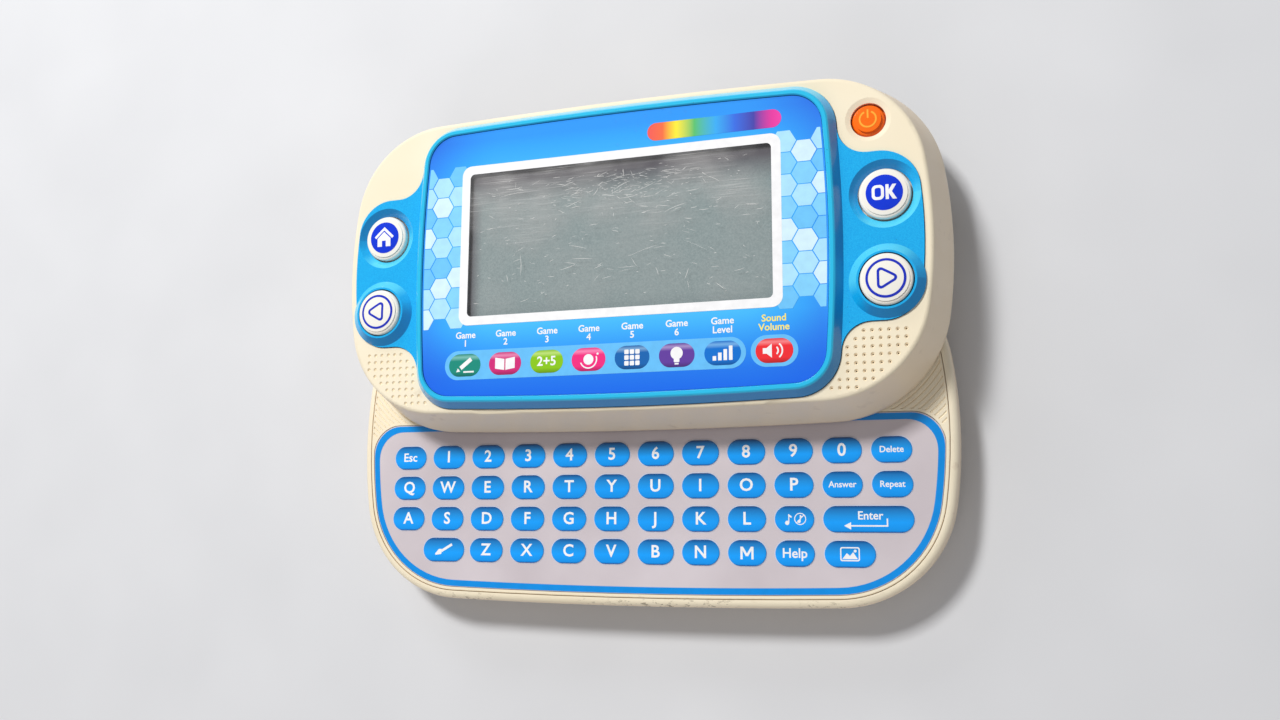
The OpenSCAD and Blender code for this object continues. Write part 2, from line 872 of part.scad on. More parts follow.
module lcd_tray() {
    z1 = ledge_z - 0.7;
    color(black) at_lid() translate([0, window_y, 0]) difference() {
        translate([0, 0, board_top]) linear_extrude(height = z1 - board_top)
            round_box(window_w + 2 * pane_lap + 2, window_d + 2 * pane_lap + 2, 1);
        translate([0, 0, z1 - 1.9]) linear_extrude(height = 3)
            square([window_w + 2.2, window_d + 2.2], center = true);
        translate([0, 0, board_top - 1]) linear_extrude(height = 10)
            square([window_w - 6, window_d - 6], center = true);
    }
}

module icon_sheet() {
    color(white) at_lid() translate([0, icon_y, ledge_z - icon_in]) linear_extrude(height = icon_in - 0.05)
        round_box(icon_w, icon_d, icon_r);
}

module main_board() {
    color(green) at_lid() difference() {
        translate([0, 0, board_z]) linear_extrude(height = board_t) intersection() {
            flat(lid_o, board_in);
            translate([-case_w, board_low]) square([2 * case_w, board_high - board_low]);
        }
        for (p = lid_posts) translate([p[0], p[1], board_z - 1]) cylinder(h = 4, r = post_r + 0.5);
        for (p = board_posts) translate([p[0], p[1], board_z - 1])
            cylinder(h = board_t + 2, r = small_screw_r + 0.3);
    }
}

// domed blob of resin over the chip
module main_chip() {
    ball = (chip_r * chip_r + chip_rise * chip_rise) / (2 * chip_rise);
    color(black) at_lid() translate([chip_x, chip_y, board_z]) rotate_extrude() intersection() {
        translate([0, ball - chip_rise]) circle(ball, $fn = 360);
        translate([0, -2 * chip_rise]) square([chip_r + 1, 2 * chip_rise]);
    }
}

module speaker() {
    color(black) at_lid() translate([speaker_x, speaker_y, 0]) {
        rotate_extrude() polygon([[0, face_under], [speaker_r, face_under],
            [speaker_r, face_under - speaker_rim], [speaker_r - 0.5, face_under - speaker_rim],
            [magnet_r, face_under - speaker_basket], [magnet_r, face_under - speaker_deep],
            [0, face_under - speaker_deep]]);
    }
}

// the board's end of the flat tail that joins the two halves
module board_tail() {
    color(white) at_lid() translate([tail_x - tail_w / 2, tail_end_y, board_z - tail_end])
        cube([tail_w, tail_t, tail_end]);
}

// rubber dome under a button
module pad(x, y, r) {
    translate([x, y, board_top]) difference() {
        cylinder(h = pad_t, r1 = r, r2 = r - pad_lean);
        translate([0, 0, -e]) cylinder(h = pad_t - pad_wall, r1 = r - pad_wall, r2 = r - pad_wall - pad_lean);
    }
}

module home_pad() {
    color(white) at_lid() pad(-button_x, home_y, pad_r);
}

module ok_pad() {
    color(white) at_lid() pad(button_x, home_y, pad_r);
}

module left_pad() {
    color(white) at_lid() pad(-button_x, arrow_y, pad_r);
}

module right_pad() {
    color(white) at_lid() pad(button_x, arrow_y, pad_r);
}

module power_pad() {
    color(white) at_lid() pad(power_x, power_y, power_pad_r);
}

// round cap with a domed top and a flange that keeps it in the shell
module cap(r, top, fl) {
    z0 = flange_top - flange_t;
    side_top = top - cap_fall;
    rotate_extrude() intersection() {
        translate([0, z0]) square([r, top - z0]);
        translate([0, top - dome_r]) circle(dome_r, $fn = 360);
        union() {
            translate([0, z0]) square([r, side_top - z0]);
            translate([0, z0]) square([r - cap_edge, top - z0]);
            translate([r - cap_edge, side_top]) circle(cap_edge);
        }
    }
    translate([0, 0, z0]) cylinder(h = flange_t, r = fl);
}

module home_button() {
    color(white) at_lid() translate([-button_x, home_y, 0]) cap(cap_r, home_top, flange_r);
}

module ok_button() {
    color(white) at_lid() translate([button_x, home_y, 0]) cap(cap_r, home_top, flange_r);
}

module left_button() {
    color(white) at_lid() translate([-button_x, arrow_y, 0]) cap(cap_r, arrow_top, flange_r);
}

module right_button() {
    color(white) at_lid() translate([button_x, arrow_y, 0]) cap(cap_r, arrow_top, flange_r);
}

module power_button() {
    color([0.95, 0.4, 0.08]) at_lid() translate([power_x, power_y, 0])
        cap(power_r, power_top, power_r + 1.3);
}

module cover_screws() {
    color(steel) at_lid() for (p = lid_posts) translate(p) screw(back_z + head_in, 9);
}

module board_screws() {
    color(steel) at_lid() for (p = board_posts) translate([p[0], p[1], board_z])
        small_screw();
}

module small_screw() {
    difference() {
        union() {
            translate([0, 0, -small_head_t]) cylinder(h = small_head_t, r = small_head_r);
            translate([0, 0, -small_head_t]) cylinder(h = small_screw_l, r = small_screw_r);
        }
        translate([-small_slot_l / 2, -slot_w / 2, -small_head_t - e])
            cube([small_slot_l, slot_w, slot_deep + e]);
    }
}

base_case();
deck_cover();
key_overlay();
key_spacer();
key_circuit();
runner_left();
runner_right();
runner_screws();
case_screws();
battery_door();
door_screw();
cell_1();
cell_2();
cell_3();
contact_plus();
contact_minus();
bridge_left();
bridge_right();
foot_1();
foot_2();
foot_3();
foot_4();
front_shell();
rear_cover();
bezel();
faceplate();
window_pane();
lcd_panel();
lcd_tray();
icon_sheet();
main_board();
main_chip();
speaker();
board_tail();
home_pad();
ok_pad();
left_pad();
right_pad();
power_pad();
home_button();
ok_button();
left_button();
right_button();
power_button();
cover_screws();
board_screws();
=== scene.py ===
"""Looks of a toy laptop computer: a screen half that slides over a flat sheet keyboard half.

Sizes in capitals are millimetres unless a name or a comment says otherwise; MM turns them into metres.
"""
import math
import random

import bmesh
import bpy
from mathutils import Matrix, Vector


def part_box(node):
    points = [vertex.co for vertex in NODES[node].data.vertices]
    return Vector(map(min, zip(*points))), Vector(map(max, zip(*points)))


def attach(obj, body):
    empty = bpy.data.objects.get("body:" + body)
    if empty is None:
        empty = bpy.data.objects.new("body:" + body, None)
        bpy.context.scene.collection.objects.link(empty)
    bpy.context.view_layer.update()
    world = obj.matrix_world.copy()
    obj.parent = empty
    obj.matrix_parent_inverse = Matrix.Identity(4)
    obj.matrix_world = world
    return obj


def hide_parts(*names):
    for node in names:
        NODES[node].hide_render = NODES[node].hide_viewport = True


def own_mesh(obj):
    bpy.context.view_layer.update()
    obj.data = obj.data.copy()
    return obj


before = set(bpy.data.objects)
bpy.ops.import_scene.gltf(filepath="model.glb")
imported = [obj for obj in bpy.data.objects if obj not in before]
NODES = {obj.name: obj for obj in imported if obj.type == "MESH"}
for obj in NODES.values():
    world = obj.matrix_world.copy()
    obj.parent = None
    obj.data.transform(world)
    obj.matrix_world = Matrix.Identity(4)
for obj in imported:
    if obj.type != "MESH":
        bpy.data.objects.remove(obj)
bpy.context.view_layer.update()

MM = 0.001

# ---- places taken from the frame, in millimetres ----


def low(node):
    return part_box(node)[0] / MM


def high(node):
    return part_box(node)[1] / MM


LID_Y = (low("front_shell").y + high("front_shell").y) / 2
CASE_Y = (low("base_case").y + high("base_case").y) / 2
PLATE_Z = high("faceplate").z
PANE_Z = high("window_pane").z
PLATE_MID_Y = (low("faceplate").y + high("faceplate").y) / 2
PANEL_TOP = high("key_overlay").y
KEY_RISE = 0.2                           # how far a key stands above the rest of the sheet
KEY_Z = high("key_overlay").z
RIM_Z = high("bezel").z
SHEET_Z = KEY_Z - KEY_RISE

# ---- the camera: its place and aim in millimetres, its focal length in pixels of the 1280 px frame ----

CAMERA_AT = (110.67, -56.05, 339.65)
CAMERA_AIM = (5.92, -5.80, 30.0)
CAMERA_ROLL = 0.26                       # degrees
IMAGE_W = 1280
FOCAL_PX = 1100
SENSOR_W = 36.0

# ---- printed layout, from the middle of the half that carries it ----

WINDOW = (96.8, 45.9)
WINDOW_R = 1.5
WINDOW_MID_Y = 5.25
BORDER = (102.4, 51.4)
BORDER_R = 3.2
INK = 0.05                               # thickness of a printed layer
KEY_PX = 14.25
KEY_PY = 9.95
KEY_W = 11.6
KEY_D = 7.6
KEY_MID_COL = 5.535
KEY_ROW_Y = -5.8

HEX_PITCH = 6.58
HEX_TALL = 6.34
HEX_TOP_Y = 24.8
HEX_FULL_X = 57.9
HEX_STEP_X = 5.78
HEX_ROWS = 7
HEX_EDGE = 0.5

ICON_Y = -32.95
ICON_X = (-48.6, -34.9, -21.1, -7.55, 6.15, 19.85, 33.55, 48.55)
ICON_W = 10.8
ICON_D = 7.0
LABEL_Y = (-23.6, -26.2)

BAND_AT = (31.1, 35.45)
BAND = (40.9, 5.5)

BUTTON_X = 79.99
HOME_Y = 10.7
ARROW_Y = -14.4
POWER_AT = (75.9, 33.1)
CAP_DOME_R = 32.0
DISC_R = 5.15


# ---- node helpers ----


def socket(node, name, value):
    node.inputs[name].default_value = value


def linear(rgb):
    """sRGB 0..255 to linear 0..1 with alpha."""
    out = []
    for v in rgb:
        v /= 255.0
        out.append(v / 12.92 if v <= 0.04045 else ((v + 0.055) / 1.055) ** 2.4)
    return (*out, 1.0)


class Shader:
    """A material with its Principled node and short calls for the nodes that feed it."""

    def __init__(self, name, colour, rough, **sockets):
        self.mat = bpy.data.materials.new(name)
        self.mat.use_nodes = True
        self.tree = self.mat.node_tree
        self.main = self.tree.nodes["Principled BSDF"]
        self.colour = linear(colour)
        socket(self.main, "Base Color", self.colour)
        socket(self.main, "Roughness", rough)
        for key, value in sockets.items():
            socket(self.main, key.replace("_", " "), value)
        self.mat.diffuse_color = self.colour
        self._where = None

    def node(self, kind, **props):
        n = self.tree.nodes.new(kind)
        for key, value in props.items():
            setattr(n, key, value)
        return n

    def link(self, a, b):
        self.tree.links.new(a, b)

    @property
    def where(self):
        """Object coordinates, in metres in the row frame."""
        if self._where is None:
            self._where = self.node("ShaderNodeTexCoord").outputs["Object"]
        return self._where

    def scaled(self, scale, turn=(0, 0, 0)):
        m = self.node("ShaderNodeMapping")
        socket(m, "Scale", scale)
        socket(m, "Rotation", turn)
        self.link(self.where, m.inputs["Vector"])
        return m.outputs["Vector"]

    def noise(self, size_mm, detail=3.0, rough=0.5, stretch=(1, 1, 1), turn=(0, 0, 0)):
        n = self.node("ShaderNodeTexNoise")
        k = 1.0 / (size_mm * MM)
        self.link(self.scaled([k * s for s in stretch], turn), n.inputs["Vector"])
        socket(n, "Scale", 1.0)
        socket(n, "Detail", detail)
        socket(n, "Roughness", rough)
        return n.outputs["Fac"]

    def ramp(self, fac, stops):
        r = self.node("ShaderNodeValToRGB")
        els = r.color_ramp.elements
        while len(els) > 1:
            els.remove(els[-1])
        els[0].position, els[0].color = stops[0]
        for pos, col in stops[1:]:
            els.new(pos).color = col
        self.link(fac, r.inputs["Fac"])
        return r.outputs["Color"]

    def grey(self, fac, a, b, lo=0.0, hi=1.0):
        """Remaps fac from lo..hi to a..b, clamped."""
        m = self.node("ShaderNodeMapRange")
        for key, value in (("From Min", lo), ("From Max", hi), ("To Min", a), ("To Max", b)):
            socket(m, key, value)
        self.link(fac, m.inputs["Value"])
        return m.outputs["Result"]

    def axis(self, letter):
        s = self.node("ShaderNodeSeparateXYZ")
        self.link(self.where, s.inputs["Vector"])
        return s.outputs[letter]

    def facing(self, way):
        """How far the surface turns towards a level direction: -1 away, 0 flat, 1 towards."""
        dot = self.node("ShaderNodeVectorMath", operation="DOT_PRODUCT")
        dot.inputs[1].default_value = way
        self.link(self.node("ShaderNodeNewGeometry").outputs["Normal"], dot.inputs[0])
        return dot.outputs["Value"]

    def math(self, op, a, b=None):
        m = self.node("ShaderNodeMath", operation=op)
        for i, v in enumerate((a, b)):
            if v is None:
                continue
            if isinstance(v, (int, float)):
                m.inputs[i].default_value = v
            else:
                self.link(v, m.inputs[i])
        return m.outputs["Value"]

    def mix(self, fac, a, b, blend="MIX"):
        m = self.node("ShaderNodeMix", data_type="RGBA", blend_type=blend)
        for sock, v in ((m.inputs["Factor"], fac), (m.inputs["A"], a), (m.inputs["B"], b)):
            if isinstance(v, (int, float, tuple)):
                sock.default_value = v
            else:
                self.link(v, sock)
        return m.outputs["Result"]

    def set_colour(self, out):
        self.link(out, self.main.inputs["Base Color"])

    def set_rough(self, out):
        self.link(out, self.main.inputs["Roughness"])

    def bump(self, height, strength, distance_mm=0.05):
        b = self.node("ShaderNodeBump")
        socket(b, "Strength", strength)
        socket(b, "Distance", distance_mm * MM)
        self.link(height, b.inputs["Height"])
        last = self.main.inputs["Normal"]
        if last.is_linked:
            self.link(last.links[0].from_socket, b.inputs["Normal"])
        self.link(b.outputs["Normal"], last)


def tint(rgb, k):
    return tuple(max(0.0, min(255.0, v * k)) for v in rgb)


# ---- materials ----


def moulded(name, colour, rough=0.42, grain_mm=0.35, grain=0.25, shade=0.94, **sockets):
    """Moulded plastic: a fine grain, a slow drift of colour and a few dull rubbed patches."""
    s = Shader(name, colour, rough, **sockets)
    drift = s.grey(s.noise(28, 2), 0.0, 1.0, 0.3, 0.7)
    s.set_colour(s.mix(drift, linear(tint(colour, shade)), linear(colour)))
    s.set_rough(s.grey(s.noise(9, 4, 0.6), rough - 0.06, rough + 0.08, 0.3, 0.7))
    s.bump(s.noise(grain_mm, 2), grain)
    return s


def cream_plastic():
    """Cream shell plastic: walls tinted tan by a painted warm shade, faint smudges, and dirt along the
    keyboard half's front.
    """
    colour = (243, 233, 209)
    s = Shader("cream_plastic", colour, 0.4, Coat_Weight=0.12, Coat_Roughness=0.35)
    warm = s.mix(s.grey(s.noise(35, 2), 0, 1, 0.3, 0.7), linear((238, 226, 199)), linear(colour))
    front = s.grey(s.axis("Y"), 1.0, 0.0, (CASE_Y - 52) * MM, (CASE_Y - 48.5) * MM)
    lip = s.grey(s.axis("Z"), 0.0, 1.0, 12 * MM, 15.2 * MM)
    speck = s.grey(s.noise(1.0, 4, 0.7, (0.5, 1, 1)), 0.0, 1.0, 0.55, 0.61)
    patch = s.grey(s.noise(26, 1), 0.0, 1.0, 0.45, 0.55)
    dirt = s.math("MULTIPLY", s.math("MULTIPLY", front, lip), s.math("MULTIPLY", speck, patch))
    smudge = s.math("MULTIPLY", s.grey(s.noise(6, 3, 0.6), 0.0, 0.3, 0.62, 0.74),
                    s.grey(s.noise(40, 1), 0, 1, 0.45, 0.6))
    # painted shade: surfaces that turn away from upward are mixed towards a warm tan that stands for bounce
    # light and shade on the walls
    walls = s.mix(s.grey(s.facing((0, 0, 1)), 0.55, 0.0, 0.2, 0.8), warm, linear((240, 214, 182)))
    smudged_and_shaded = s.mix(smudge, walls, linear((176, 150, 126)))
    s.set_colour(s.mix(s.math("MULTIPLY", dirt, 0.85), smudged_and_shaded, linear((92, 78, 62))))
    s.set_rough(s.grey(s.noise(7, 4, 0.6), 0.36, 0.5, 0.3, 0.7))
    s.bump(s.noise(0.3, 2), 0.08)
    s.bump(s.noise(0.05, 1, 0.5, (0.02, 1, 1), (0, 0, 0.5)), 0.05)
    return s


def metallic_blue():
    """Pearl blue lacquer of the frame: flakes, a painted highlight on slopes turned towards the key light
    and along the rim top, painted shade on slopes turned away, chips and hairlines.
    """
    colour = (4, 174, 244)
    s = Shader("metallic_blue", colour, 0.36, Metallic=0.1, Coat_Weight=0.8, Coat_Roughness=0.12)
    flake = s.grey(s.noise(0.3, 1), 0.0, 1.0, 0.3, 0.7)
    face = s.mix(flake, linear((0, 166, 238)), linear((24, 186, 248)))
    # painted light: surfaces turned towards the key light get a painted highlight, those turned away a
    # painted shade
    facing_key_light = s.facing((-0.47, 0.88, 0.0))
    painted_highlight = s.mix(s.grey(facing_key_light, 0.0, 0.7, 0.05, 0.32), face, linear((96, 224, 252)))
    painted_shade = s.mix(s.grey(facing_key_light, 0.72, 0.0, -0.36, -0.05), painted_highlight, linear((0, 108, 178)))
    # painted highlight: a lighter cyan along the top of the frame's rim; painted then holds the lacquer with
    # all its painted highlights and shade
    rim = s.grey(s.axis("Z"), 0.0, 1.0, (RIM_Z - 0.75) * MM, (RIM_Z - 0.2) * MM)
    painted = s.mix(rim, painted_shade, linear((38, 194, 240)))
    chips = s.math("MULTIPLY", s.grey(s.noise(0.7, 2), 0.0, 1.0, 0.73, 0.76),
                   s.grey(s.noise(20, 1), 0.0, 1.0, 0.5, 0.6))
    s.set_colour(s.mix(chips, painted, linear((24, 70, 104))))
    s.set_rough(s.grey(s.noise(0.4, 2), 0.32, 0.42, 0.3, 0.7))
    s.bump(s.noise(0.22, 1), 0.03, 0.02)
    s.bump(s.noise(0.5, 1, 0.5, (0.03, 1, 1), (0, 0, 0.9)), 0.03, 0.02)
    return s


def plate_blue():
    """Printed blue of the faceplate: cyan by the window, darker outwards and below, grey where it is cut."""
    s = Shader("plate_blue", (64, 160, 250), 0.24, Coat_Weight=0.5, Coat_Roughness=0.06)
    x = s.math("ABSOLUTE", s.axis("X"))
    y = s.math("SUBTRACT", s.axis("Y"), (LID_Y + 1) * MM)
    side = s.grey(x, 0.0, 1.0, 36 * MM, 62 * MM)
    end = s.grey(s.math("ABSOLUTE", y), 0.0, 1.0, 15 * MM, 38 * MM)
    far = s.math("SQRT", s.math("ADD", s.math("POWER", side, 2.0), s.math("POWER", end, 2.0)))
    body = s.ramp(s.math("MULTIPLY", far, 0.7), [
        (0.0, linear((78, 194, 255))), (0.3, linear((66, 184, 255))), (0.6, linear((50, 162, 250))),
        (0.8, linear((46, 138, 240))), (1.0, linear((42, 110, 226)))])
    bottom = s.grey(y, 1.0, 0.0, -43 * MM, -22 * MM)
    printed = s.mix(s.math("MULTIPLY", bottom, 0.85), body, linear((6, 98, 232)))
    from_mid = s.math("ABSOLUTE", s.math("SUBTRACT", s.axis("Y"), (LID_Y + WINDOW_MID_Y) * MM))
    cut = s.math("MULTIPLY", s.math("LESS_THAN", x, (WINDOW[0] / 2 + 0.05) * MM),
                 s.math("LESS_THAN", from_mid, (WINDOW[1] / 2 + 0.05) * MM))
    s.set_colour(s.mix(cut, printed, linear((96, 100, 106))))
    s.bump(s.noise(0.6, 1, 0.5, (0.03, 1, 1), (0, 0, 0.7)), 0.02, 0.02)
    return s


def window_acrylic():
    """Clear window dulled by fine crossing scratches, thicker towards its top."""
    s = Shader("window_acrylic", (214, 214, 214), 0.1, Specular_IOR_Level=0.6)
    hair = s.noise(0.26, 1, 0.5, (0.02, 1, 1), (0, 0, 0.2))
    cross = s.noise(0.3, 1, 0.5, (0.025, 1, 1), (0, 0, -0.9))
    high_up = s.grey(s.axis("Y"), 0.2, 1.0, (LID_Y - 4) * MM, (LID_Y + 22) * MM)
    cloud = s.math("MULTIPLY", s.grey(s.noise(18, 2), 0.0, 1.0, 0.36, 0.62), high_up)
    mark = s.math("ADD", s.grey(hair, 0, 0.34, 0.6, 0.74), s.grey(cross, 0, 0.26, 0.62, 0.76))
    veil = s.math("ADD", s.math("MULTIPLY", mark, cloud), s.math("MULTIPLY", cloud, 0.16))
    s.link(s.math("ADD", veil, 0.04), s.main.inputs["Alpha"])
    s.set_rough(s.grey(s.noise(6, 3), 0.06, 0.2, 0.35, 0.65))
    s.bump(hair, 0.03, 0.02)
    return s


def lcd_grey():
    """Unlit reflective display, with a painted shadow along its top and left edges, where the window's
    recess shades it.
    """
    s = Shader("lcd_grey", (134, 146, 143), 0.35, Coat_Weight=0.3, Coat_Roughness=0.1)
    mid = LID_Y + WINDOW_MID_Y
    fine = s.grey(s.noise(0.5, 1, 0.5), 0, 1, 0.3, 0.7)
    dots = s.mix(fine, linear((124, 140, 142)), linear((140, 155, 156)))
    # painted shadow: darker bands along the display's top and left edges
    top = s.grey(s.axis("Y"), 0.0, 1.0, (mid + 12.5) * MM, (mid + 20.5) * MM)
    left = s.grey(s.axis("X"), 1.0, 0.0, -48.2 * MM, -44.5 * MM)
    s.set_colour(s.mix(s.math("MAXIMUM", s.math("MULTIPLY", top, 0.9), s.math("MULTIPLY", left, 0.8)),
                       dots, linear((68, 60, 72))))
    return s


def key_blue():
    """Printed key: bright in its lower half, darker above, with a thin dark edge; its UV spans the key."""
    s = Shader("key_blue", (14, 132, 232), 0.34, Coat_Weight=0.25, Coat_Roughness=0.2)
    uv = s.node("ShaderNodeUVMap").outputs["UV"]
    sep = s.node("ShaderNodeSeparateXYZ")
    s.link(uv, sep.inputs["Vector"])
    s.set_colour(s.ramp(sep.outputs["Y"], [
        (0.0, linear((0, 92, 176))), (0.07, linear((6, 148, 240))), (0.38, linear((14, 160, 255))),
        (0.62, linear((24, 146, 228))), (0.86, linear((24, 118, 190))), (0.95, linear((4, 88, 154))),
        (1.0, linear((0, 58, 112)))]))
    s.bump(s.noise(0.3, 2), 0.05)
    return s


def panel_grey():
    """Lilac grey of the keyboard sheet, slightly uneven as a flexible sheet lies."""
    s = Shader("panel_grey", (205, 196, 202), 0.36, Coat_Weight=0.15, Coat_Roughness=0.25)
    drift = s.grey(s.noise(24, 3), 0.0, 1.0, 0.3, 0.7)
    s.set_colour(s.mix(drift, linear((198, 189, 195)), linear((210, 202, 208))))
    s.bump(s.noise(0.25, 2), 0.08)
    s.bump(s.noise(30, 1), 0.2, 0.2)
    return s


def rainbow():
    """Soft band of colours from red at the left to magenta at the right."""
    s = Shader("rainbow", (240, 200, 60), 0.26, Coat_Weight=0.4, Coat_Roughness=0.1)
    half = BAND[0] / 2 + 0.05
    along = s.grey(s.axis("X"), 0.0, 1.0, (BAND_AT[0] - half) * MM, (BAND_AT[0] + half) * MM)
    s.set_colour(s.ramp(along, [(0.0, linear((236, 92, 90))), (0.12, linear((240, 112, 70))),
                                (0.22, linear((250, 232, 60))), (0.36, linear((90, 190, 110))),
                                (0.52, linear((60, 170, 240))), (0.66, linear((60, 110, 225))),
                                (0.8, linear((72, 70, 170))), (0.93, linear((224, 60, 160))),
                                (1.0, linear((236, 70, 170)))]))
    return s


def ink(name, colour, rough=0.28):
    """Printed or pad-stamped colour with a faint unevenness."""
    s = Shader(name, colour, rough, Coat_Weight=0.3, Coat_Roughness=0.12)
    uneven = s.grey(s.noise(2.5, 2), 0, 1, 0.35, 0.65)
    s.set_colour(s.mix(uneven, linear(tint(colour, 0.97)), linear(colour)))
    return s


def icon_ink(name, colour):
    """Icon ground: lighter along its top like a glossy bead, darker along its bottom."""
    s = Shader(name, colour, 0.28, Coat_Weight=0.3, Coat_Roughness=0.12)
    mid = LID_Y + ICON_Y
    rise = s.grey(s.axis("Y"), 0.0, 1.0, (mid - ICON_D / 2) * MM, (mid + ICON_D / 2) * MM)
    shine = tuple(v + (255 - v) * 0.42 for v in colour)
    s.set_colour(s.ramp(rise, [
        (0.0, linear(tint(colour, 0.72))), (0.22, linear(colour)), (0.7, linear(colour)),
        (0.86, linear(shine)), (1.0, linear(tint(colour, 0.95)))]))
    return s


def white_cap():
    """Glossy off-white plastic of the four round caps."""
    return moulded("white_cap", (243, 241, 233), 0.26, 0.5, 0.04, 0.98, Coat_Weight=0.4, Coat_Roughness=0.1)


def orange_cap():
    """Glossy orange plastic of the power button."""
    return moulded("orange_cap", (255, 112, 6), 0.3, 0.5, 0.05, 0.95, Coat_Weight=0.4, Coat_Roughness=0.15)


def metal(name, colour, rough):
    """Plated metal with fine drawn lines and dull spots."""
    s = Shader(name, colour, rough, Metallic=1.0)
    s.set_rough(s.grey(s.noise(0.8, 3), rough - 0.08, rough + 0.1, 0.3, 0.7))
    s.bump(s.noise(0.4, 2, 0.5, (0.2, 1, 1)), 0.08)
    return s


def rubber():
    """Black rubber of the feet, greyed by dust."""
    s = Shader("foot_rubber", (30, 30, 32), 0.75)
    s.set_colour(s.mix(s.grey(s.noise(1.5, 4), 0, 1, 0.4, 0.7), linear((26, 26, 28)), linear((52, 50, 48))))
    s.bump(s.noise(0.3, 3), 0.3)
    return s


def board_mask():
    """Green solder mask with the tracks showing as lighter raised lines."""
    s = Shader("board_mask", (18, 92, 52), 0.4, Coat_Weight=0.3, Coat_Roughness=0.2)
    track = s.grey(s.noise(1.2, 0, 0.5, (0.15, 1, 1)), 0, 1, 0.5, 0.53)
    s.set_colour(s.mix(track, linear((14, 78, 44)), linear((30, 118, 70))))
    s.bump(track, 0.2)
    return s


CREAM = cream_plastic().mat
BLUE = metallic_blue().mat
PLATE = plate_blue().mat
PANE = window_acrylic().mat
LCD = lcd_grey().mat
KEY = key_blue().mat
PANEL = panel_grey().mat
RAINBOW = rainbow().mat
CAP = white_cap().mat
ORANGE = orange_cap().mat
ORANGE_MARK = ink("orange_mark", (255, 176, 60)).mat
REAR = moulded("rear_plastic", (226, 212, 184), 0.5, 0.3, 0.35).mat
SLIDE = moulded("slide_plastic", (228, 226, 218), 0.45).mat
DARK = moulded("dark_plastic", (28, 28, 30), 0.5).mat
FILM = moulded("film", (214, 218, 216), 0.3, 0.5, 0.05).mat
PAD = moulded("silicone", (212, 212, 206), 0.55, 0.5, 0.1).mat
SLEEVE = moulded("cell_sleeve", (30, 30, 32), 0.25, 0.5, 0.03).mat
STEEL = metal("screw_steel", (190, 188, 182), 0.32).mat
PLATE_STEEL = metal("contact_steel", (200, 196, 184), 0.25).mat
RUBBER = rubber().mat
BOARD = board_mask().mat
BORDER_BLUE = ink("border_blue", (0, 142, 230), 0.32).mat
WHITE_INK = ink("white_ink", (246, 247, 250)).mat
YELLOW_INK = ink("yellow_ink", (250, 236, 120)).mat
MARK_BLUE = ink("mark_blue", (0, 52, 214), 0.3).mat
LINE_BLUE = ink("line_blue", (22, 46, 190), 0.3).mat
HALO = ink("halo_ink", (104, 192, 250)).mat
KEY_HALO = ink("key_halo_ink", (206, 214, 234)).mat
HEX_INKS = [ink(f"hex_ink_{i}", c).mat for i, c in enumerate(
    ((112, 198, 252), (132, 210, 255), (174, 228, 255), (212, 241, 255)))]
ICON_INKS = [icon_ink(f"icon_ink_{i}", c).mat for i, c in enumerate(
    ((24, 138, 122), (206, 44, 120), (136, 196, 22), (238, 44, 128), (22, 100, 176), (98, 62, 158),
     (10, 112, 208), (236, 44, 52)))]
SCRATCH = ink("scratch", (238, 238, 236), 0.4).mat

NODE_LOOKS = {
    CREAM: ["base_case", "deck_cover", "battery_door", "front_shell"],
    REAR: ["rear_cover"],
    BLUE: ["bezel"],
    PLATE: ["faceplate"],
    PANE: ["window_pane"],
    LCD: ["lcd_panel"],
    PANEL: ["key_overlay"],
    DARK: ["lcd_tray", "main_chip", "speaker"],
    FILM: ["key_spacer", "key_circuit", "board_tail", "icon_sheet"],
    SLIDE: ["runner_left", "runner_right"],
    SLEEVE: ["cell_1", "cell_2", "cell_3"],
    STEEL: ["runner_screws", "case_screws", "door_screw", "cover_screws", "board_screws"],
    PLATE_STEEL: ["contact_plus", "contact_minus", "bridge_left", "bridge_right"],
    RUBBER: ["foot_1", "foot_2", "foot_3", "foot_4"],
    BOARD: ["main_board"],
    PAD: ["home_pad", "ok_pad", "left_pad", "right_pad", "power_pad"],
    CAP: ["home_button", "ok_button", "left_button", "right_button"],
    ORANGE: ["power_button"],
}


def dress_nodes():
    """Gives each CAD node its look through its object's material slots."""
    for look, names in NODE_LOOKS.items():
        for name in names:
            for slot in NODES[name].material_slots:
                slot.link = "OBJECT"
                slot.material = look


# ---- flat outlines, in millimetres ----


def on_arc(x, y, r, a):
    """The point at angle a, in radians, of a circle round x, y."""
    return (x + r * math.cos(a), y + r * math.sin(a))


def circle(x, y, r, n=48):
    return [on_arc(x, y, r, 2 * math.pi * i / n) for i in range(n)]


def rounded(x, y, w, d, r, n=8):
    pts = []
    for k, (sx, sy) in enumerate(((1, 1), (-1, 1), (-1, -1), (1, -1))):
        cx = x + sx * (w / 2 - r)
        cy = y + sy * (d / 2 - r)
        pts += [on_arc(cx, cy, r, math.pi / 2 * (k + i / n)) for i in range(n + 1)]
    return pts


def pill(x, y, w, d, n=12):
    return rounded(x, y, w, d, d / 2 - 0.001, n)


def hexagon(x, y, tall):
    return circle(x, y, tall / math.sqrt(3), 6)


def bar(x0, y0, x1, y1, w):
    """A straight bar of width w from one point to another."""
    dx, dy = x1 - x0, y1 - y0
    k = w / 2 / math.hypot(dx, dy)
    nx, ny = -dy * k, dx * k
    return [(x0 + nx, y0 + ny), (x0 - nx, y0 - ny), (x1 - nx, y1 - ny), (x1 + nx, y1 + ny)]


def arc_band(x, y, r, w, a0, a1, n=32):
    """Part of a ring from angle a0 to a1, in degrees."""
    turn = [math.radians(a0 + (a1 - a0) * i / n) for i in range(n + 1)]
    outer = [on_arc(x, y, r + w / 2, t) for t in turn]
    inner = [on_arc(x, y, r - w / 2, t) for t in reversed(turn)]
    return outer + inner


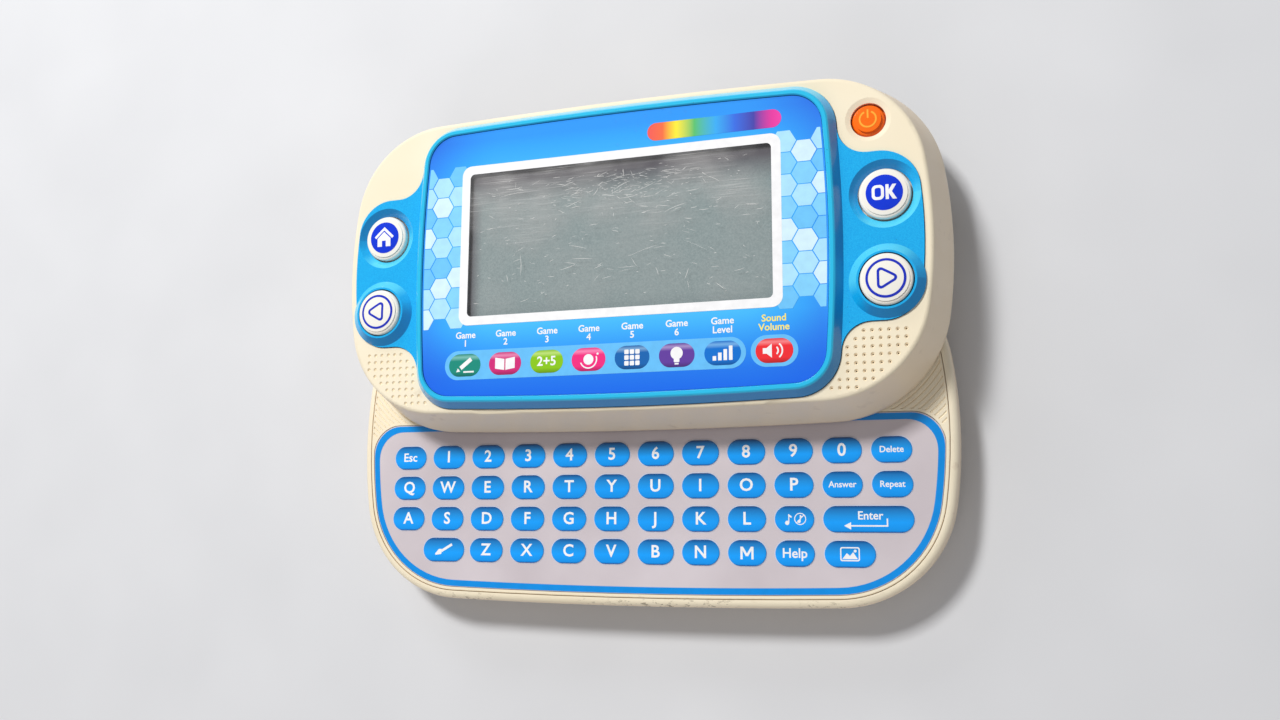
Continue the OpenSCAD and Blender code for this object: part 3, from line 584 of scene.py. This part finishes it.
def soft_polygon(corners, r, n=5):
    """A convex polygon with its corners rounded to radius r."""
    pts = []
    m = len(corners)
    for i in range(m):
        p, a, b = Vector(corners[i]), Vector(corners[i - 1]), Vector(corners[(i + 1) % m])
        u, v = (a - p).normalized(), (b - p).normalized()
        half = u.angle(v) / 2
        mid = p + (u + v).normalized() * (r / math.sin(half))
        start = (p + u * (r / math.tan(half))) - mid
        end = (p + v * (r / math.tan(half))) - mid
        a0 = math.atan2(start.y, start.x)
        da = (math.atan2(end.y, end.x) - a0 + math.pi) % (2 * math.pi) - math.pi
        pts += [on_arc(mid.x, mid.y, r, a0 + da * k / n) for k in range(n + 1)]
    return pts


def clip(loop, edge):
    """Keeps the part of a loop inside a convex anticlockwise outline."""
    out = list(loop)
    for i in range(len(edge)):
        (ax, ay), (bx, by) = edge[i - 1], edge[i]
        src, out = out, []
        for j in range(len(src)):
            p, q = src[j - 1], src[j]
            fp = (bx - ax) * (p[1] - ay) - (by - ay) * (p[0] - ax)
            fq = (bx - ax) * (q[1] - ay) - (by - ay) * (q[0] - ax)
            if (fp >= 0) != (fq >= 0):
                t = fp / (fp - fq)
                out.append((p[0] + t * (q[0] - p[0]), p[1] + t * (q[1] - p[1])))
            if fq >= 0:
                out.append(q)
        if not out:
            return []
    return out


class Outline:
    """Rounded oblong of eight tangent arcs: bowed sides left and right, bowed ends, and round corners.

    corner is the centre of a corner's arc. side and end are the steps in x and y that lead to it from the
    centre of the side's arc and from the centre of the end's arc.
    """

    def __init__(self, corner, corner_r, side, end):
        self.corner, self.corner_r = corner, corner_r
        self.side_t = math.atan2(side[1], side[0])
        self.end_t = math.atan2(end[1], end[0])
        self.side_c = (corner[0] - side[0], 0.0)
        self.end_c = (0.0, corner[1] - end[1])
        self.side_r = math.hypot(*side) + corner_r
        self.end_r = math.hypot(*end) + corner_r

    def quarter(self, d, n=16):
        """The first quadrant, d inside the outline, from its right side up to the middle of its far end."""
        arcs = ((self.side_c, self.side_r, 0.0, self.side_t),
                (self.corner, self.corner_r, self.side_t, self.end_t),
                (self.end_c, self.end_r, self.end_t, math.pi / 2))
        pts = []
        for (cx, cy), r, a0, a1 in arcs:
            pts += [on_arc(cx, cy, r - d, a0 + (a1 - a0) * i / n) for i in range(n)]
        return pts

    def loop(self, d):
        q = self.quarter(d)
        top = (0.0, self.end_c[1] + self.end_r - d)
        right = q + [top]
        left = [(-x, y) for x, y in reversed(q)]
        up = right + left
        return up + [(x, -y) for x, y in reversed(up[1:-1])]


# the outlines of the case and of the raised frame, and how far inside them the panel and the plate end
CASE = Outline((61.11, 16.64), 34.5, (107.52, 16.64), (61.11, 1924.48))
FRAME = Outline((53.9, 32.75), 13.0, (408.72, 32.75), (53.9, 1481.76))
PLATE_INSET = 3.75
PANEL_INSET = 3.7
PANEL_CORNER_R = 9.5
PANEL_BORDER = 2.2


def panel_loop(d):
    """The panel's outline, d inside its edge: the case's outline below, two round corners above."""
    top = PANEL_TOP - CASE_Y - d
    r = PANEL_CORNER_R - 0.4 * d
    under = [p for p in CASE.loop(PANEL_INSET + d) if p[1] < top - r]
    half = max(p[0] for p in under if p[1] > top - r - 6)    # half the width where the corners start
    cap = []
    for side, a0 in ((1, 0.0), (-1, math.pi / 2)):
        cap += [on_arc(side * (half - r), top - r, r, a0 + math.pi / 2 * i / 10) for i in range(11)]
    under.sort(key=lambda p: math.atan2(p[1] - (top - r), p[0]))
    return cap + under


# ---- printed sheets ----

GRID_STEP = 0.8                          # a bent print is cut this finely


class Print:
    """Thin printed shapes gathered into one piece. A layer spans INK upwards from its height z."""

    def __init__(self, name, body, slot, at=(0.0, 0.0)):
        self.name, self.body, self.slot, self.at = name, body, slot, at
        self.mesh = bmesh.new()
        self.looks = []
        self.layers = {}

    def look(self, mat):
        if mat not in self.looks:
            self.looks.append(mat)
        return self.looks.index(mat)

    def shape(self, z, mat, *loops):
        self.layers.setdefault((round(z, 4), self.look(mat)), []).append(loops)

    def curve(self, kind):
        data = bpy.data.curves.new(self.name, kind)
        if kind == "CURVE":
            data.dimensions = "2D"
        data.fill_mode = "BOTH"
        data.extrude = INK / 2
        return data

    def take(self, data, x, y, z, look):
        """Adds a filled curve, drawn in millimetres, to the piece."""
        obj = bpy.data.objects.new("taken", data)
        bpy.context.scene.collection.objects.link(obj)
        bpy.context.view_layer.update()
        mesh = bpy.data.meshes.new_from_object(obj.evaluated_get(bpy.context.evaluated_depsgraph_get()))
        mesh.transform(Matrix.Translation((x, y, z)))
        start = len(self.mesh.faces)
        self.mesh.from_mesh(mesh)
        self.mesh.faces.ensure_lookup_table()
        for f in self.mesh.faces[start:]:
            f.material_index = look
        bpy.data.objects.remove(obj)
        bpy.data.curves.remove(data)
        bpy.data.meshes.remove(mesh)

    def text(self, z, mat, words, x, y, size, bold):
        """Words round x, y; bold is how far their edges are moved outwards."""
        data = self.curve("FONT")
        data.body = words
        data.size = size
        data.offset = bold
        data.align_x = "CENTER"
        data.align_y = "CENTER"
        data.resolution_u = 3
        self.take(data, x, y, z + INK / 2, self.look(mat))

    def fill(self, z, look, loops):
        data = self.curve("CURVE")
        for loop in loops:
            spline = data.splines.new("POLY")
            spline.points.add(len(loop) - 1)
            for p, (x, y) in zip(spline.points, loop):
                p.co = (x, y, 0, 1)
            spline.use_cyclic_u = True
        self.take(data, 0, 0, z + INK / 2, look)

    def done(self, bend=None):
        """Makes the piece; bend gives how far the surface under it rises at x, y."""
        for (z, look), shapes in self.layers.items():
            for loops in shapes:
                self.fill(z, look, loops)
        bm = self.mesh
        bmesh.ops.remove_doubles(bm, verts=bm.verts, dist=0.0005)
        if bend:
            cut_grid(bm, GRID_STEP)
            for v in bm.verts:
                v.co.z += bend(v.co.x, v.co.y)
        mesh = bpy.data.meshes.new(self.name)
        bm.to_mesh(mesh)
        bm.free()
        mesh.transform(Matrix.Scale(MM, 4) @ Matrix.Translation((self.at[0], self.at[1], 0)))
        return finish_piece(self.name, mesh, self.looks, self.body)


def cut_grid(bm, step):
    """Cuts a flat mesh along a square grid, so that it can follow a curved surface."""
    for k in (0, 1):
        lo = min(v.co[k] for v in bm.verts)
        hi = max(v.co[k] for v in bm.verts)
        normal = Vector((1 - k, k, 0))
        for i in range(1, int((hi - lo) / step) + 1):
            at = Vector((0, 0, 0))
            at[k] = lo + i * step
            bmesh.ops.bisect_plane(bm, geom=bm.verts[:] + bm.edges[:] + bm.faces[:], dist=1e-5,
                                   plane_co=at, plane_no=normal)


def finish_piece(name, mesh, looks, body, smooth=False):
    """Makes a mesh a piece that rides on a body."""
    for mat in looks:
        mesh.materials.append(mat)
    for f in mesh.polygons:
        f.use_smooth = smooth
    obj = bpy.data.objects.new(name, mesh)
    bpy.context.scene.collection.objects.link(obj)
    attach(obj, body)
    return obj


# ---- keyboard ----

# each key: its column, its legend and how much wider than KEY_W it is
ROWS = (
    ((0, "Esc", 0), *((c, str(c % 10), 0) for c in range(1, 11)), (11, "Delete", 0)),
    (*((c, k, 0) for c, k in enumerate("QWERTYUIOP")), (10, "Answer", 0), (11, "Repeat", 0)),
    (*((c, k, 0) for c, k in enumerate("ASDFGHJKL")), (9, "notes", 0), (10.5, "Enter", KEY_PX)),
    ((0.93, "brush", KEY_W * 0.27), *((c + 2, k, 0) for c, k in enumerate("ZXCVBNM")), (9, "Help", 0),
     (10.12, "album", KEY_W * 0.26)),
)


def key_spots():
    """Yields each key's middle, width and legend."""
    for r, row in enumerate(ROWS):
        for c, legend, more in row:
            yield (c - KEY_MID_COL) * KEY_PX, KEY_ROW_Y - r * KEY_PY, KEY_W + more, legend


# the section of a key's face: how far in from the key's edge, and how far above the sheet's raised key
KEY_SECTION = ((0.0, -0.02), (0.0, 0.05), (0.22, 0.14), (0.6, 0.2), (1.4, 0.26), (2.4, 0.29))


def key_faces():
    """A thin domed face on each raised key, its UV running over the key from edge to edge."""
    bm = bmesh.new()
    uv = bm.loops.layers.uv.new("key")
    for x, y, w, _ in key_spots():
        half = Vector((w / 2, KEY_D / 2))
        loops = []
        for inset, rise in KEY_SECTION:
            edge = pill(x, y, w - 2 * inset, KEY_D - 2 * inset)
            loops.append([bm.verts.new((px, py, KEY_Z + rise)) for px, py in edge])
        faces = [bm.faces.new(reversed(loops[0])), bm.faces.new(loops[-1])]
        for a, b in zip(loops, loops[1:]):
            n = len(a)
            faces += [bm.faces.new((a[i - 1], a[i], b[i], b[i - 1])) for i in range(n)]
        for f in faces:
            for loop in f.loops:
                at = loop.vert.co
                loop[uv].uv = ((at.x - x) / half.x / 2 + 0.5, (at.y - y) / half.y / 2 + 0.5)
    mesh = bpy.data.meshes.new("key_faces")
    bm.to_mesh(mesh)
    bm.free()
    mesh.transform(Matrix.Scale(MM, 4) @ Matrix.Translation((0, CASE_Y, 0)))
    return finish_piece("key_faces", mesh, [KEY], "base", smooth=True)


def panel_print():
    """The thin pale line printed round each key, and the panel's blue border."""
    p = Print("panel_print", "base", "key_sheet", (0, CASE_Y))
    for x, y, w, _ in key_spots():
        p.shape(SHEET_Z, KEY_HALO, pill(x, y, w + 0.5, KEY_D + 0.5), pill(x, y, w - 0.2, KEY_D - 0.2))
    p.shape(SHEET_Z, BORDER_BLUE, panel_loop(0.3), panel_loop(PANEL_BORDER))
    return p.done()


LEGEND_Z = KEY_Z + 0.27
STEP = 0.004                             # overlapping strokes of one drawing lie this far above each other


def note(p, x, y, k=1.0):
    """A quaver, k times its full size."""
    p.shape(LEGEND_Z, WHITE_INK, circle(x, y, 0.62 * k, 20))
    p.shape(LEGEND_Z + STEP, WHITE_INK, bar(x + 0.5 * k, y, x + 0.5 * k, y + 2.5 * k, 0.3 * k))
    flag = bar(x + 0.38 * k, y + 2.4 * k, x + 1.3 * k, y + 1.6 * k, 0.42 * k)
    p.shape(LEGEND_Z + 2 * STEP, WHITE_INK, flag)


def legend_notes(p, x, y):
    note(p, x - 2.1, y - 1.1)
    note(p, x + 1.4, y - 0.7, 0.75)
    ring = [circle(x + 1.75, y + 0.05, r, 32) for r in (1.75, 1.5)]
    p.shape(LEGEND_Z + 3 * STEP, WHITE_INK, *ring)
    p.shape(LEGEND_Z + 4 * STEP, WHITE_INK, bar(x + 0.6, y - 1.15, x + 2.9, y + 1.25, 0.24))


def legend_enter(p, x, y):
    p.text(LEGEND_Z, WHITE_INK, "Enter", x + 0.6, y + 0.95, 3.3, 0.05)
    p.shape(LEGEND_Z, WHITE_INK, bar(x - 5.2, y - 1.9, x + 5.4, y - 1.9, 0.42))
    p.shape(LEGEND_Z + STEP, WHITE_INK, bar(x + 5.4, y - 2.11, x + 5.4, y + 0.2, 0.42))
    p.shape(LEGEND_Z + 2 * STEP, WHITE_INK, [(x - 6.9, y - 1.9), (x - 4.9, y - 2.95), (x - 4.9, y - 0.85)])


def legend_brush(p, x, y):
    p.shape(LEGEND_Z, WHITE_INK, bar(x - 0.6, y - 0.4, x + 3.1, y + 1.7, 0.8))
    tip = [(x - 3.4, y - 1.8), (x - 0.7, y - 1.4), (x - 0.4, y + 0.2), (x - 1.6, y + 0.2)]
    p.shape(LEGEND_Z + STEP, WHITE_INK, soft_polygon(tip, 0.3))


def legend_album(p, x, y):
    p.shape(LEGEND_Z, WHITE_INK, rounded(x, y, 5.6, 4.0, 0.6), rounded(x, y, 4.9, 3.3, 0.4))
    hills = [(x - 2.2, y - 1.4), (x + 2.2, y - 1.4), (x + 0.9, y + 0.6), (x, y - 0.5), (x - 0.9, y + 0.3)]
    p.shape(LEGEND_Z + STEP, WHITE_INK, hills)
    p.shape(LEGEND_Z + 2 * STEP, WHITE_INK, circle(x + 1.5, y + 0.9, 0.42, 20))


def legend_m(p, x, y):
    """The letter M, built of bars because the font's own breaks up when it is thickened."""
    low_y, high_y = y - 1.85, y + 1.85
    for side in (-1, 1):
        p.shape(LEGEND_Z, WHITE_INK, bar(x + side * 1.65, low_y, x + side * 1.65, high_y, 0.66))
        stroke = [(x + side * 1.98, high_y), (x + side * 1.2, high_y),
                  (x - side * 0.28, y - 0.6), (x + side * 0.28, y - 1.0)]
        p.shape(LEGEND_Z + STEP + 0.5 * STEP * side, WHITE_INK, stroke if side > 0 else stroke[::-1])


DRAWN = {
    "notes": legend_notes,
    "Enter": legend_enter,
    "brush": legend_brush,
    "album": legend_album,
    "M": legend_m,
}


def key_legends():
    """Letters, digits, words and drawings on the keys."""
    p = Print("key_legends", "base", "key_sheet", (0, CASE_Y))
    for x, y, _, legend in key_spots():
        if legend in DRAWN:
            DRAWN[legend](p, x, y)
        elif len(legend) == 1:
            p.text(LEGEND_Z, WHITE_INK, legend, x, y, 5.2, 0.1)
        elif legend in ("Help", "Esc"):
            p.text(LEGEND_Z, WHITE_INK, legend, x, y, 3.9, 0.06)
        else:
            p.text(LEGEND_Z, WHITE_INK, legend, x, y, 2.55, 0.04)
    return p.done()


# ---- faceplate print ----

LAYER = 0.03                             # a print over another print lies this much higher

# which of the HEX_INKS each cell of a column takes, from the top down
HEX_TONES = {
    -1: (0, 2, 1, 2, 1, 3, 1, 2),
    0: (2, 3, 1, 2, 0, 3, 2, 1),
    1: (1, 2, 0, 3, 1, 0, 2, 3),
}


def hexagons(p):
    """Honeycomb columns at both sides of the window, clipped by the plate's edge."""
    edge = FRAME.loop(PLATE_INSET + HEX_EDGE)
    shift = PLATE_MID_Y - LID_Y
    for side in (-1, 1):
        for col in (-1, 0, 1):
            x = side * (HEX_FULL_X + col * HEX_STEP_X)
            for r in range(HEX_ROWS + abs(col)):
                y = HEX_TOP_Y - (r - abs(col) / 2) * HEX_PITCH
                tones = HEX_TONES[col]
                tone = tones[(r + (side > 0)) % len(tones)]
                cell = clip([(a, b - shift) for a, b in hexagon(x, y, HEX_TALL)], edge)
                if len(cell) > 2:
                    p.shape(PLATE_Z, HEX_INKS[tone], [(a, b + shift) for a, b in cell])


def window_border(p):
    """White band printed round the window."""
    outer = rounded(0, WINDOW_MID_Y, *BORDER, BORDER_R)
    inner = rounded(0, WINDOW_MID_Y, *WINDOW, WINDOW_R)
    p.shape(PLATE_Z + LAYER, WHITE_INK, outer, inner)


def icon_pencil(p, x, y, z):
    p.shape(z, WHITE_INK, bar(x - 1.4, y - 0.9, x + 2.2, y + 1.9, 1.3))
    p.shape(z, WHITE_INK, [(x - 2.9, y - 2.1), (x - 1.5, y - 1.9), (x - 2.3, y - 0.9)])
    p.shape(z, WHITE_INK, bar(x - 0.4, y - 2.1, x + 3.2, y - 2.1, 0.5))


def icon_book(p, x, y, z):
    for s in (-1, 1):
        inside, outside = x + s * 0.2, x + s * 3.3
        page = [(inside, y - 2.0), (outside, y - 1.5), (outside, y + 1.9), (inside, y + 1.4)]
        p.shape(z, WHITE_INK, page if s > 0 else page[::-1])


def icon_sum(p, x, y, z):
    p.text(z, WHITE_INK, "2+5", x, y, 4.0, 0.08)


def icon_planet(p, x, y, z):
    p.shape(z, WHITE_INK, circle(x, y, 1.6, 28))
    p.shape(z, WHITE_INK, arc_band(x, y, 2.6, 0.4, 200, 380))
    p.shape(z, WHITE_INK, circle(x + 2.9, y + 1.6, 0.35, 14))


def icon_grid(p, x, y, z):
    for i in (-1, 0, 1):
        for j in (-1, 0, 1):
            p.shape(z, WHITE_INK, rounded(x + i * 1.7, y + j * 1.7, 1.35, 1.35, 0.25, 4))


def icon_bulb(p, x, y, z):
    p.shape(z, WHITE_INK, circle(x, y + 0.6, 1.85, 28))
    p.shape(z + STEP, WHITE_INK, rounded(x, y - 1.5, 1.7, 1.1, 0.2, 4))
    p.shape(z, WHITE_INK, bar(x - 0.6, y - 2.5, x + 0.6, y - 2.5, 0.45))


def icon_bars(p, x, y, z):
    for i in range(4):
        h = 1.3 + 0.95 * i
        p.shape(z, WHITE_INK, bar(x - 2.4 + 1.6 * i, y - 2.1, x - 2.4 + 1.6 * i, y - 2.1 + h, 1.05))


def icon_volume(p, x, y, z):
    p.shape(z, WHITE_INK, [(x - 3.3, y - 0.8), (x - 2.2, y - 0.8), (x - 0.7, y - 2.0), (x - 0.7, y + 2.0),
                           (x - 2.2, y + 0.8), (x - 3.3, y + 0.8)])
    for r in (1.3, 2.5):
        p.shape(z, WHITE_INK, arc_band(x - 0.2, y, r, 0.45, -50, 50, 16))


ICONS = (icon_pencil, icon_book, icon_sum, icon_planet, icon_grid, icon_bulb, icon_bars, icon_volume)
LABELS = (("Game", "1"), ("Game", "2"), ("Game", "3"), ("Game", "4"), ("Game", "5"), ("Game", "6"),
          ("Game", "Level"), ("Sound", "Volume"))


def icon_strip(p):
    """The eight pictures, their pale grounds and the words above them."""
    first, last = ICON_X[0], ICON_X[-2]
    p.shape(PLATE_Z, HALO, pill((first + last) / 2, ICON_Y, last - first + 13.7, 9.1, 16))
    p.shape(PLATE_Z, HALO, pill(ICON_X[-1], ICON_Y, 13.6, 9.1, 16))
    for i, x in enumerate(ICON_X):
        p.shape(PLATE_Z + LAYER, ICON_INKS[i], pill(x, ICON_Y, ICON_W, ICON_D))
        ICONS[i](p, x, ICON_Y, PLATE_Z + 2 * LAYER)
        for words, y in zip(LABELS[i], LABEL_Y):
            p.text(PLATE_Z, YELLOW_INK if i == 7 else WHITE_INK, words, x, y, 2.85, 0.055)


def title_band(p):
    """Plain band of colours at the plate's top right."""
    p.shape(PLATE_Z, RAINBOW, pill(*BAND_AT, *BAND, 14))


def plate_print():
    """All that is printed on the faceplate."""
    p = Print("plate_print", "screen", "blue_plate", (0, LID_Y))
    hexagons(p)
    window_border(p)
    icon_strip(p)
    title_band(p)
    return p.done()


# ---- window scratches ----

SCRATCH_COUNT = 420
SCRATCH_DEEP = 0.02


def window_scratches():
    """Fine scratches and nicks on the window, most of them in its upper half."""
    rng = random.Random(7)
    bm = bmesh.new()
    half_w, half_d = WINDOW[0] / 2 - 2, WINDOW[1] / 2 - 2
    for _ in range(SCRATCH_COUNT):
        if rng.random() < 0.55:
            x, y = rng.gauss(4, 15), rng.gauss(15, 5)
        else:
            x, y = rng.uniform(-half_w, half_w), rng.uniform(-half_d, half_d)
        length = min(9.0, 0.5 + rng.expovariate(0.6))
        if abs(x) + length / 2 > half_w or abs(y) + length / 2 > half_d:
            continue
        angle = rng.gauss(0.02, 0.28) if rng.random() < 0.8 else rng.uniform(0, math.pi)
        bow = rng.uniform(-0.05, 0.05) * length
        wide = rng.uniform(0.03, 0.105)
        along = Vector((math.cos(angle), math.sin(angle), 0))
        across = Vector((-along.y, along.x, 0))
        rows = []
        for i in range(5):
            t = i / 4 - 0.5
            mid = Vector((x, y + WINDOW_MID_Y, PANE_Z + 0.005))
            mid = mid + along * t * length + across * bow * (0.25 - t * t) * 4
            w = wide * math.sqrt(max(0.02, 1 - 4 * t * t))
            upper = [bm.verts.new(mid + across * w * s) for s in (-0.5, 0.5)]
            lower = [bm.verts.new(mid + across * w * s - Vector((0, 0, SCRATCH_DEEP))) for s in (0.5, -0.5)]
            rows.append(upper + lower)
        for a, b in zip(rows, rows[1:]):
            for k in range(4):
                bm.faces.new((a[k], b[k], b[(k + 1) % 4], a[(k + 1) % 4]))
        bm.faces.new(rows[0])
        bm.faces.new(rows[-1][::-1])
    bmesh.ops.recalc_face_normals(bm, faces=bm.faces)
    mesh = bpy.data.meshes.new("window_scratches")
    bm.to_mesh(mesh)
    bm.free()
    mesh.transform(Matrix.Scale(MM, 4) @ Matrix.Translation((0, LID_Y, 0)))
    return finish_piece("window_scratches", mesh, [SCRATCH], "screen")


# ---- marks on the round buttons ----


def dome(x, y):
    """How far a cap's top falls away at x, y from its middle."""
    return -(x * x + y * y) / (2 * CAP_DOME_R)


def cap_print(name, node, body, x, y, slot="white_cap"):
    """Starts a print round a button's middle, and gives it with the height of the cap's top."""
    p = Print(name, body, slot, (x, LID_Y + y))
    return p, high(node).z


def home_mark():
    p, z = cap_print("home_mark", "home_button", "home", -BUTTON_X, HOME_Y)
    p.shape(z, MARK_BLUE, circle(0, 0, DISC_R, 64))
    roof = [(-3.5, 0.3), (-2.95, -0.35), (0, 2.35), (2.95, -0.35), (3.5, 0.3), (0, 3.5)]
    walls = [(-2.4, -3.0), (-0.7, -3.0), (-0.7, -1.1), (0.7, -1.1), (0.7, -3.0), (2.4, -3.0),
             (2.4, -0.35), (0, 1.85), (-2.4, -0.35)]
    p.shape(z + LAYER, WHITE_INK, roof)
    p.shape(z + LAYER, WHITE_INK, walls)
    return p.done(dome)


def ok_mark():
    p, z = cap_print("ok_mark", "ok_button", "ok", BUTTON_X, HOME_Y)
    p.shape(z, MARK_BLUE, circle(0, 0, DISC_R, 64))
    p.shape(z + LAYER, WHITE_INK, rounded(-1.72, 0, 3.4, 4.3, 1.25), rounded(-1.72, 0, 1.75, 2.65, 0.6))
    p.shape(z + LAYER, WHITE_INK, bar(0.85, -2.15, 0.85, 2.15, 0.88))
    arms = [(1.3, 0.55), (1.3, -0.45), (2.35, -2.15), (3.5, -2.15), (2.15, 0.05), (3.4, 2.15), (2.3, 2.15)]
    p.shape(z + LAYER, WHITE_INK, arms)
    return p.done(dome)


def arrow_mark(name, node, body, x, way):
    """A ring and a hollow soft triangle, which points right where way is 1 and left where it is -1."""
    p, z = cap_print(name, node, body, x, ARROW_Y)
    p.shape(z, LINE_BLUE, circle(0, 0, 5.55, 72), circle(0, 0, 4.85, 72))
    outer = [(4.2, 0), (-2.4, 3.8), (-2.4, -3.8)]
    inner = [(2.82, 0), (-1.7, 2.6), (-1.7, -2.6)]
    if way < 0:
        outer = [(-a, b) for a, b in reversed(outer)]
        inner = [(-a, b) for a, b in reversed(inner)]
    p.shape(z, LINE_BLUE, soft_polygon(outer, 1.1), soft_polygon(inner, 0.5))
    return p.done(dome)


def power_mark():
    p, z = cap_print("power_mark", "power_button", "power", *POWER_AT, "orange_cap")
    p.shape(z, ORANGE_MARK, arc_band(0, 0, 2.3, 0.5, 115, 425, 48))
    p.shape(z, ORANGE_MARK, bar(0, 0.3, 0, 2.9, 0.5))
    return p.done(dome)


# ---- silicone pads under the buttons ----

PAD_LEAN = 1.6
PAD_WALL = 0.9
PAD_CHAMFER = (0.1, 0.2)                 # at the foot, inwards and up


def squashed_pad(button):
    """A hollow silicone cone that stands for the node BUTTON_pad, which it hides."""
    node = button + "_pad"
    foot, top = low(node), high(node)
    mid = (foot + top) / 2
    r = (top.x - foot.x) / 2
    inside = top.z - PAD_WALL
    profile = ((r - PAD_LEAN, top.z), (r - PAD_CHAMFER[0], foot.z + PAD_CHAMFER[1]), (r, foot.z),
               (r - PAD_WALL, foot.z), (r - PAD_WALL - PAD_LEAN, inside))
    bm = bmesh.new()
    rings = [[bm.verts.new((x, y, z)) for x, y in circle(mid.x, mid.y, ring_r)] for ring_r, z in profile]
    for a, b in zip(rings, rings[1:]):
        for i in range(len(a)):
            bm.faces.new((a[i - 1], a[i], b[i], b[i - 1]))
    for ring, z in ((rings[0], top.z), (rings[-1], inside)):
        middle = bm.verts.new((mid.x, mid.y, z))
        for i in range(len(ring)):
            bm.faces.new((ring[i - 1], ring[i], middle))
    bmesh.ops.recalc_face_normals(bm, faces=bm.faces)
    mesh = bpy.data.meshes.new(button + "_dome")
    bm.to_mesh(mesh)
    bm.free()
    mesh.transform(Matrix.Scale(MM, 4))
    obj = finish_piece(button + "_dome", mesh, [PAD], "screen", smooth=True)
    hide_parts(node)
    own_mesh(obj)


# ---- stage ----


FLOOR_HALF = 3.0                         # metres


def plain_floor():
    bm = bmesh.new()
    bmesh.ops.create_grid(bm, x_segments=1, y_segments=1, size=FLOOR_HALF)
    mesh = bpy.data.meshes.new("floor")
    bm.to_mesh(mesh)
    bm.free()
    obj = bpy.data.objects.new("floor", mesh)
    bpy.context.scene.collection.objects.link(obj)
    s = Shader("floor", (214, 216, 220), 0.8)
    uneven = s.grey(s.noise(60, 2), 0, 1, 0.3, 0.7)
    s.set_colour(s.mix(uneven, linear((212, 214, 218)), linear((217, 219, 223))))
    mesh.materials.append(s.mat)


def area_light(name, at, aim, size, watts, colour=(1, 1, 1), mirrored=True):
    """A rectangular light, places and size in metres; one that isn't mirrored makes no highlight."""
    data = bpy.data.lights.new(name, "AREA")
    data.shape = "RECTANGLE"
    data.size, data.size_y = size
    data.energy = watts
    data.color = colour
    obj = bpy.data.objects.new(name, data)
    obj.location = Vector(at)
    obj.rotation_euler = (Vector(aim) - Vector(at)).to_track_quat("-Z", "Y").to_euler()
    obj.visible_glossy = mirrored
    bpy.context.scene.collection.objects.link(obj)


def studio_light():
    """A key light from behind, a warm fill from the front, a rim light low behind and a dim sky."""
    aim = (0, 0, 0.03)
    area_light("key_light", (-0.3, 0.56, 0.97), aim, (0.2, 0.2), 11.2, (1.0, 0.985, 0.96), mirrored=False)
    area_light("fill_light", (-0.1, -0.85, 0.55), aim, (0.8, 0.5), 2.1, (1.0, 0.92, 0.84), mirrored=False)
    area_light("rim_light", (-0.5, 0.95, 0.6), aim, (0.5, 0.25), 2.2)
    world = bpy.data.worlds.new("studio")
    world.use_nodes = True
    sky = world.node_tree.nodes["Background"]
    socket(sky, "Color", (0.97, 0.97, 1.0, 1.0))
    socket(sky, "Strength", 0.26)
    bpy.context.scene.world = world
    bpy.context.scene.view_settings.view_transform = "Standard"


def photo_camera():
    """A pinhole camera aimed at a point, with the back of the toy upward, then rolled a little."""
    data = bpy.data.cameras.new("camera")
    data.sensor_width = SENSOR_W
    data.lens = SENSOR_W * FOCAL_PX / IMAGE_W
    data.clip_start = 0.01
    obj = bpy.data.objects.new("camera", data)
    at, aim = Vector(CAMERA_AT) * MM, Vector(CAMERA_AIM) * MM
    ahead = (aim - at).normalized()
    right = ahead.cross(Vector((0, 1, 0))).normalized()
    turn = Matrix((right, right.cross(ahead), -ahead)).transposed().to_4x4()
    roll = Matrix.Rotation(math.radians(CAMERA_ROLL), 4, "Z")
    obj.matrix_world = Matrix.Translation(at) @ turn @ roll
    bpy.context.scene.collection.objects.link(obj)
    bpy.context.scene.camera = obj


dress_nodes()
key_faces()
panel_print()
key_legends()
plate_print()
window_scratches()
home_mark()
ok_mark()
arrow_mark("left_mark", "left_button", "left_arrow", -BUTTON_X, -1)
arrow_mark("right_mark", "right_button", "right_arrow", BUTTON_X, 1)
power_mark()
for button in ("home", "ok", "left", "right", "power"):
    squashed_pad(button)
plain_floor()
studio_light()
photo_camera()
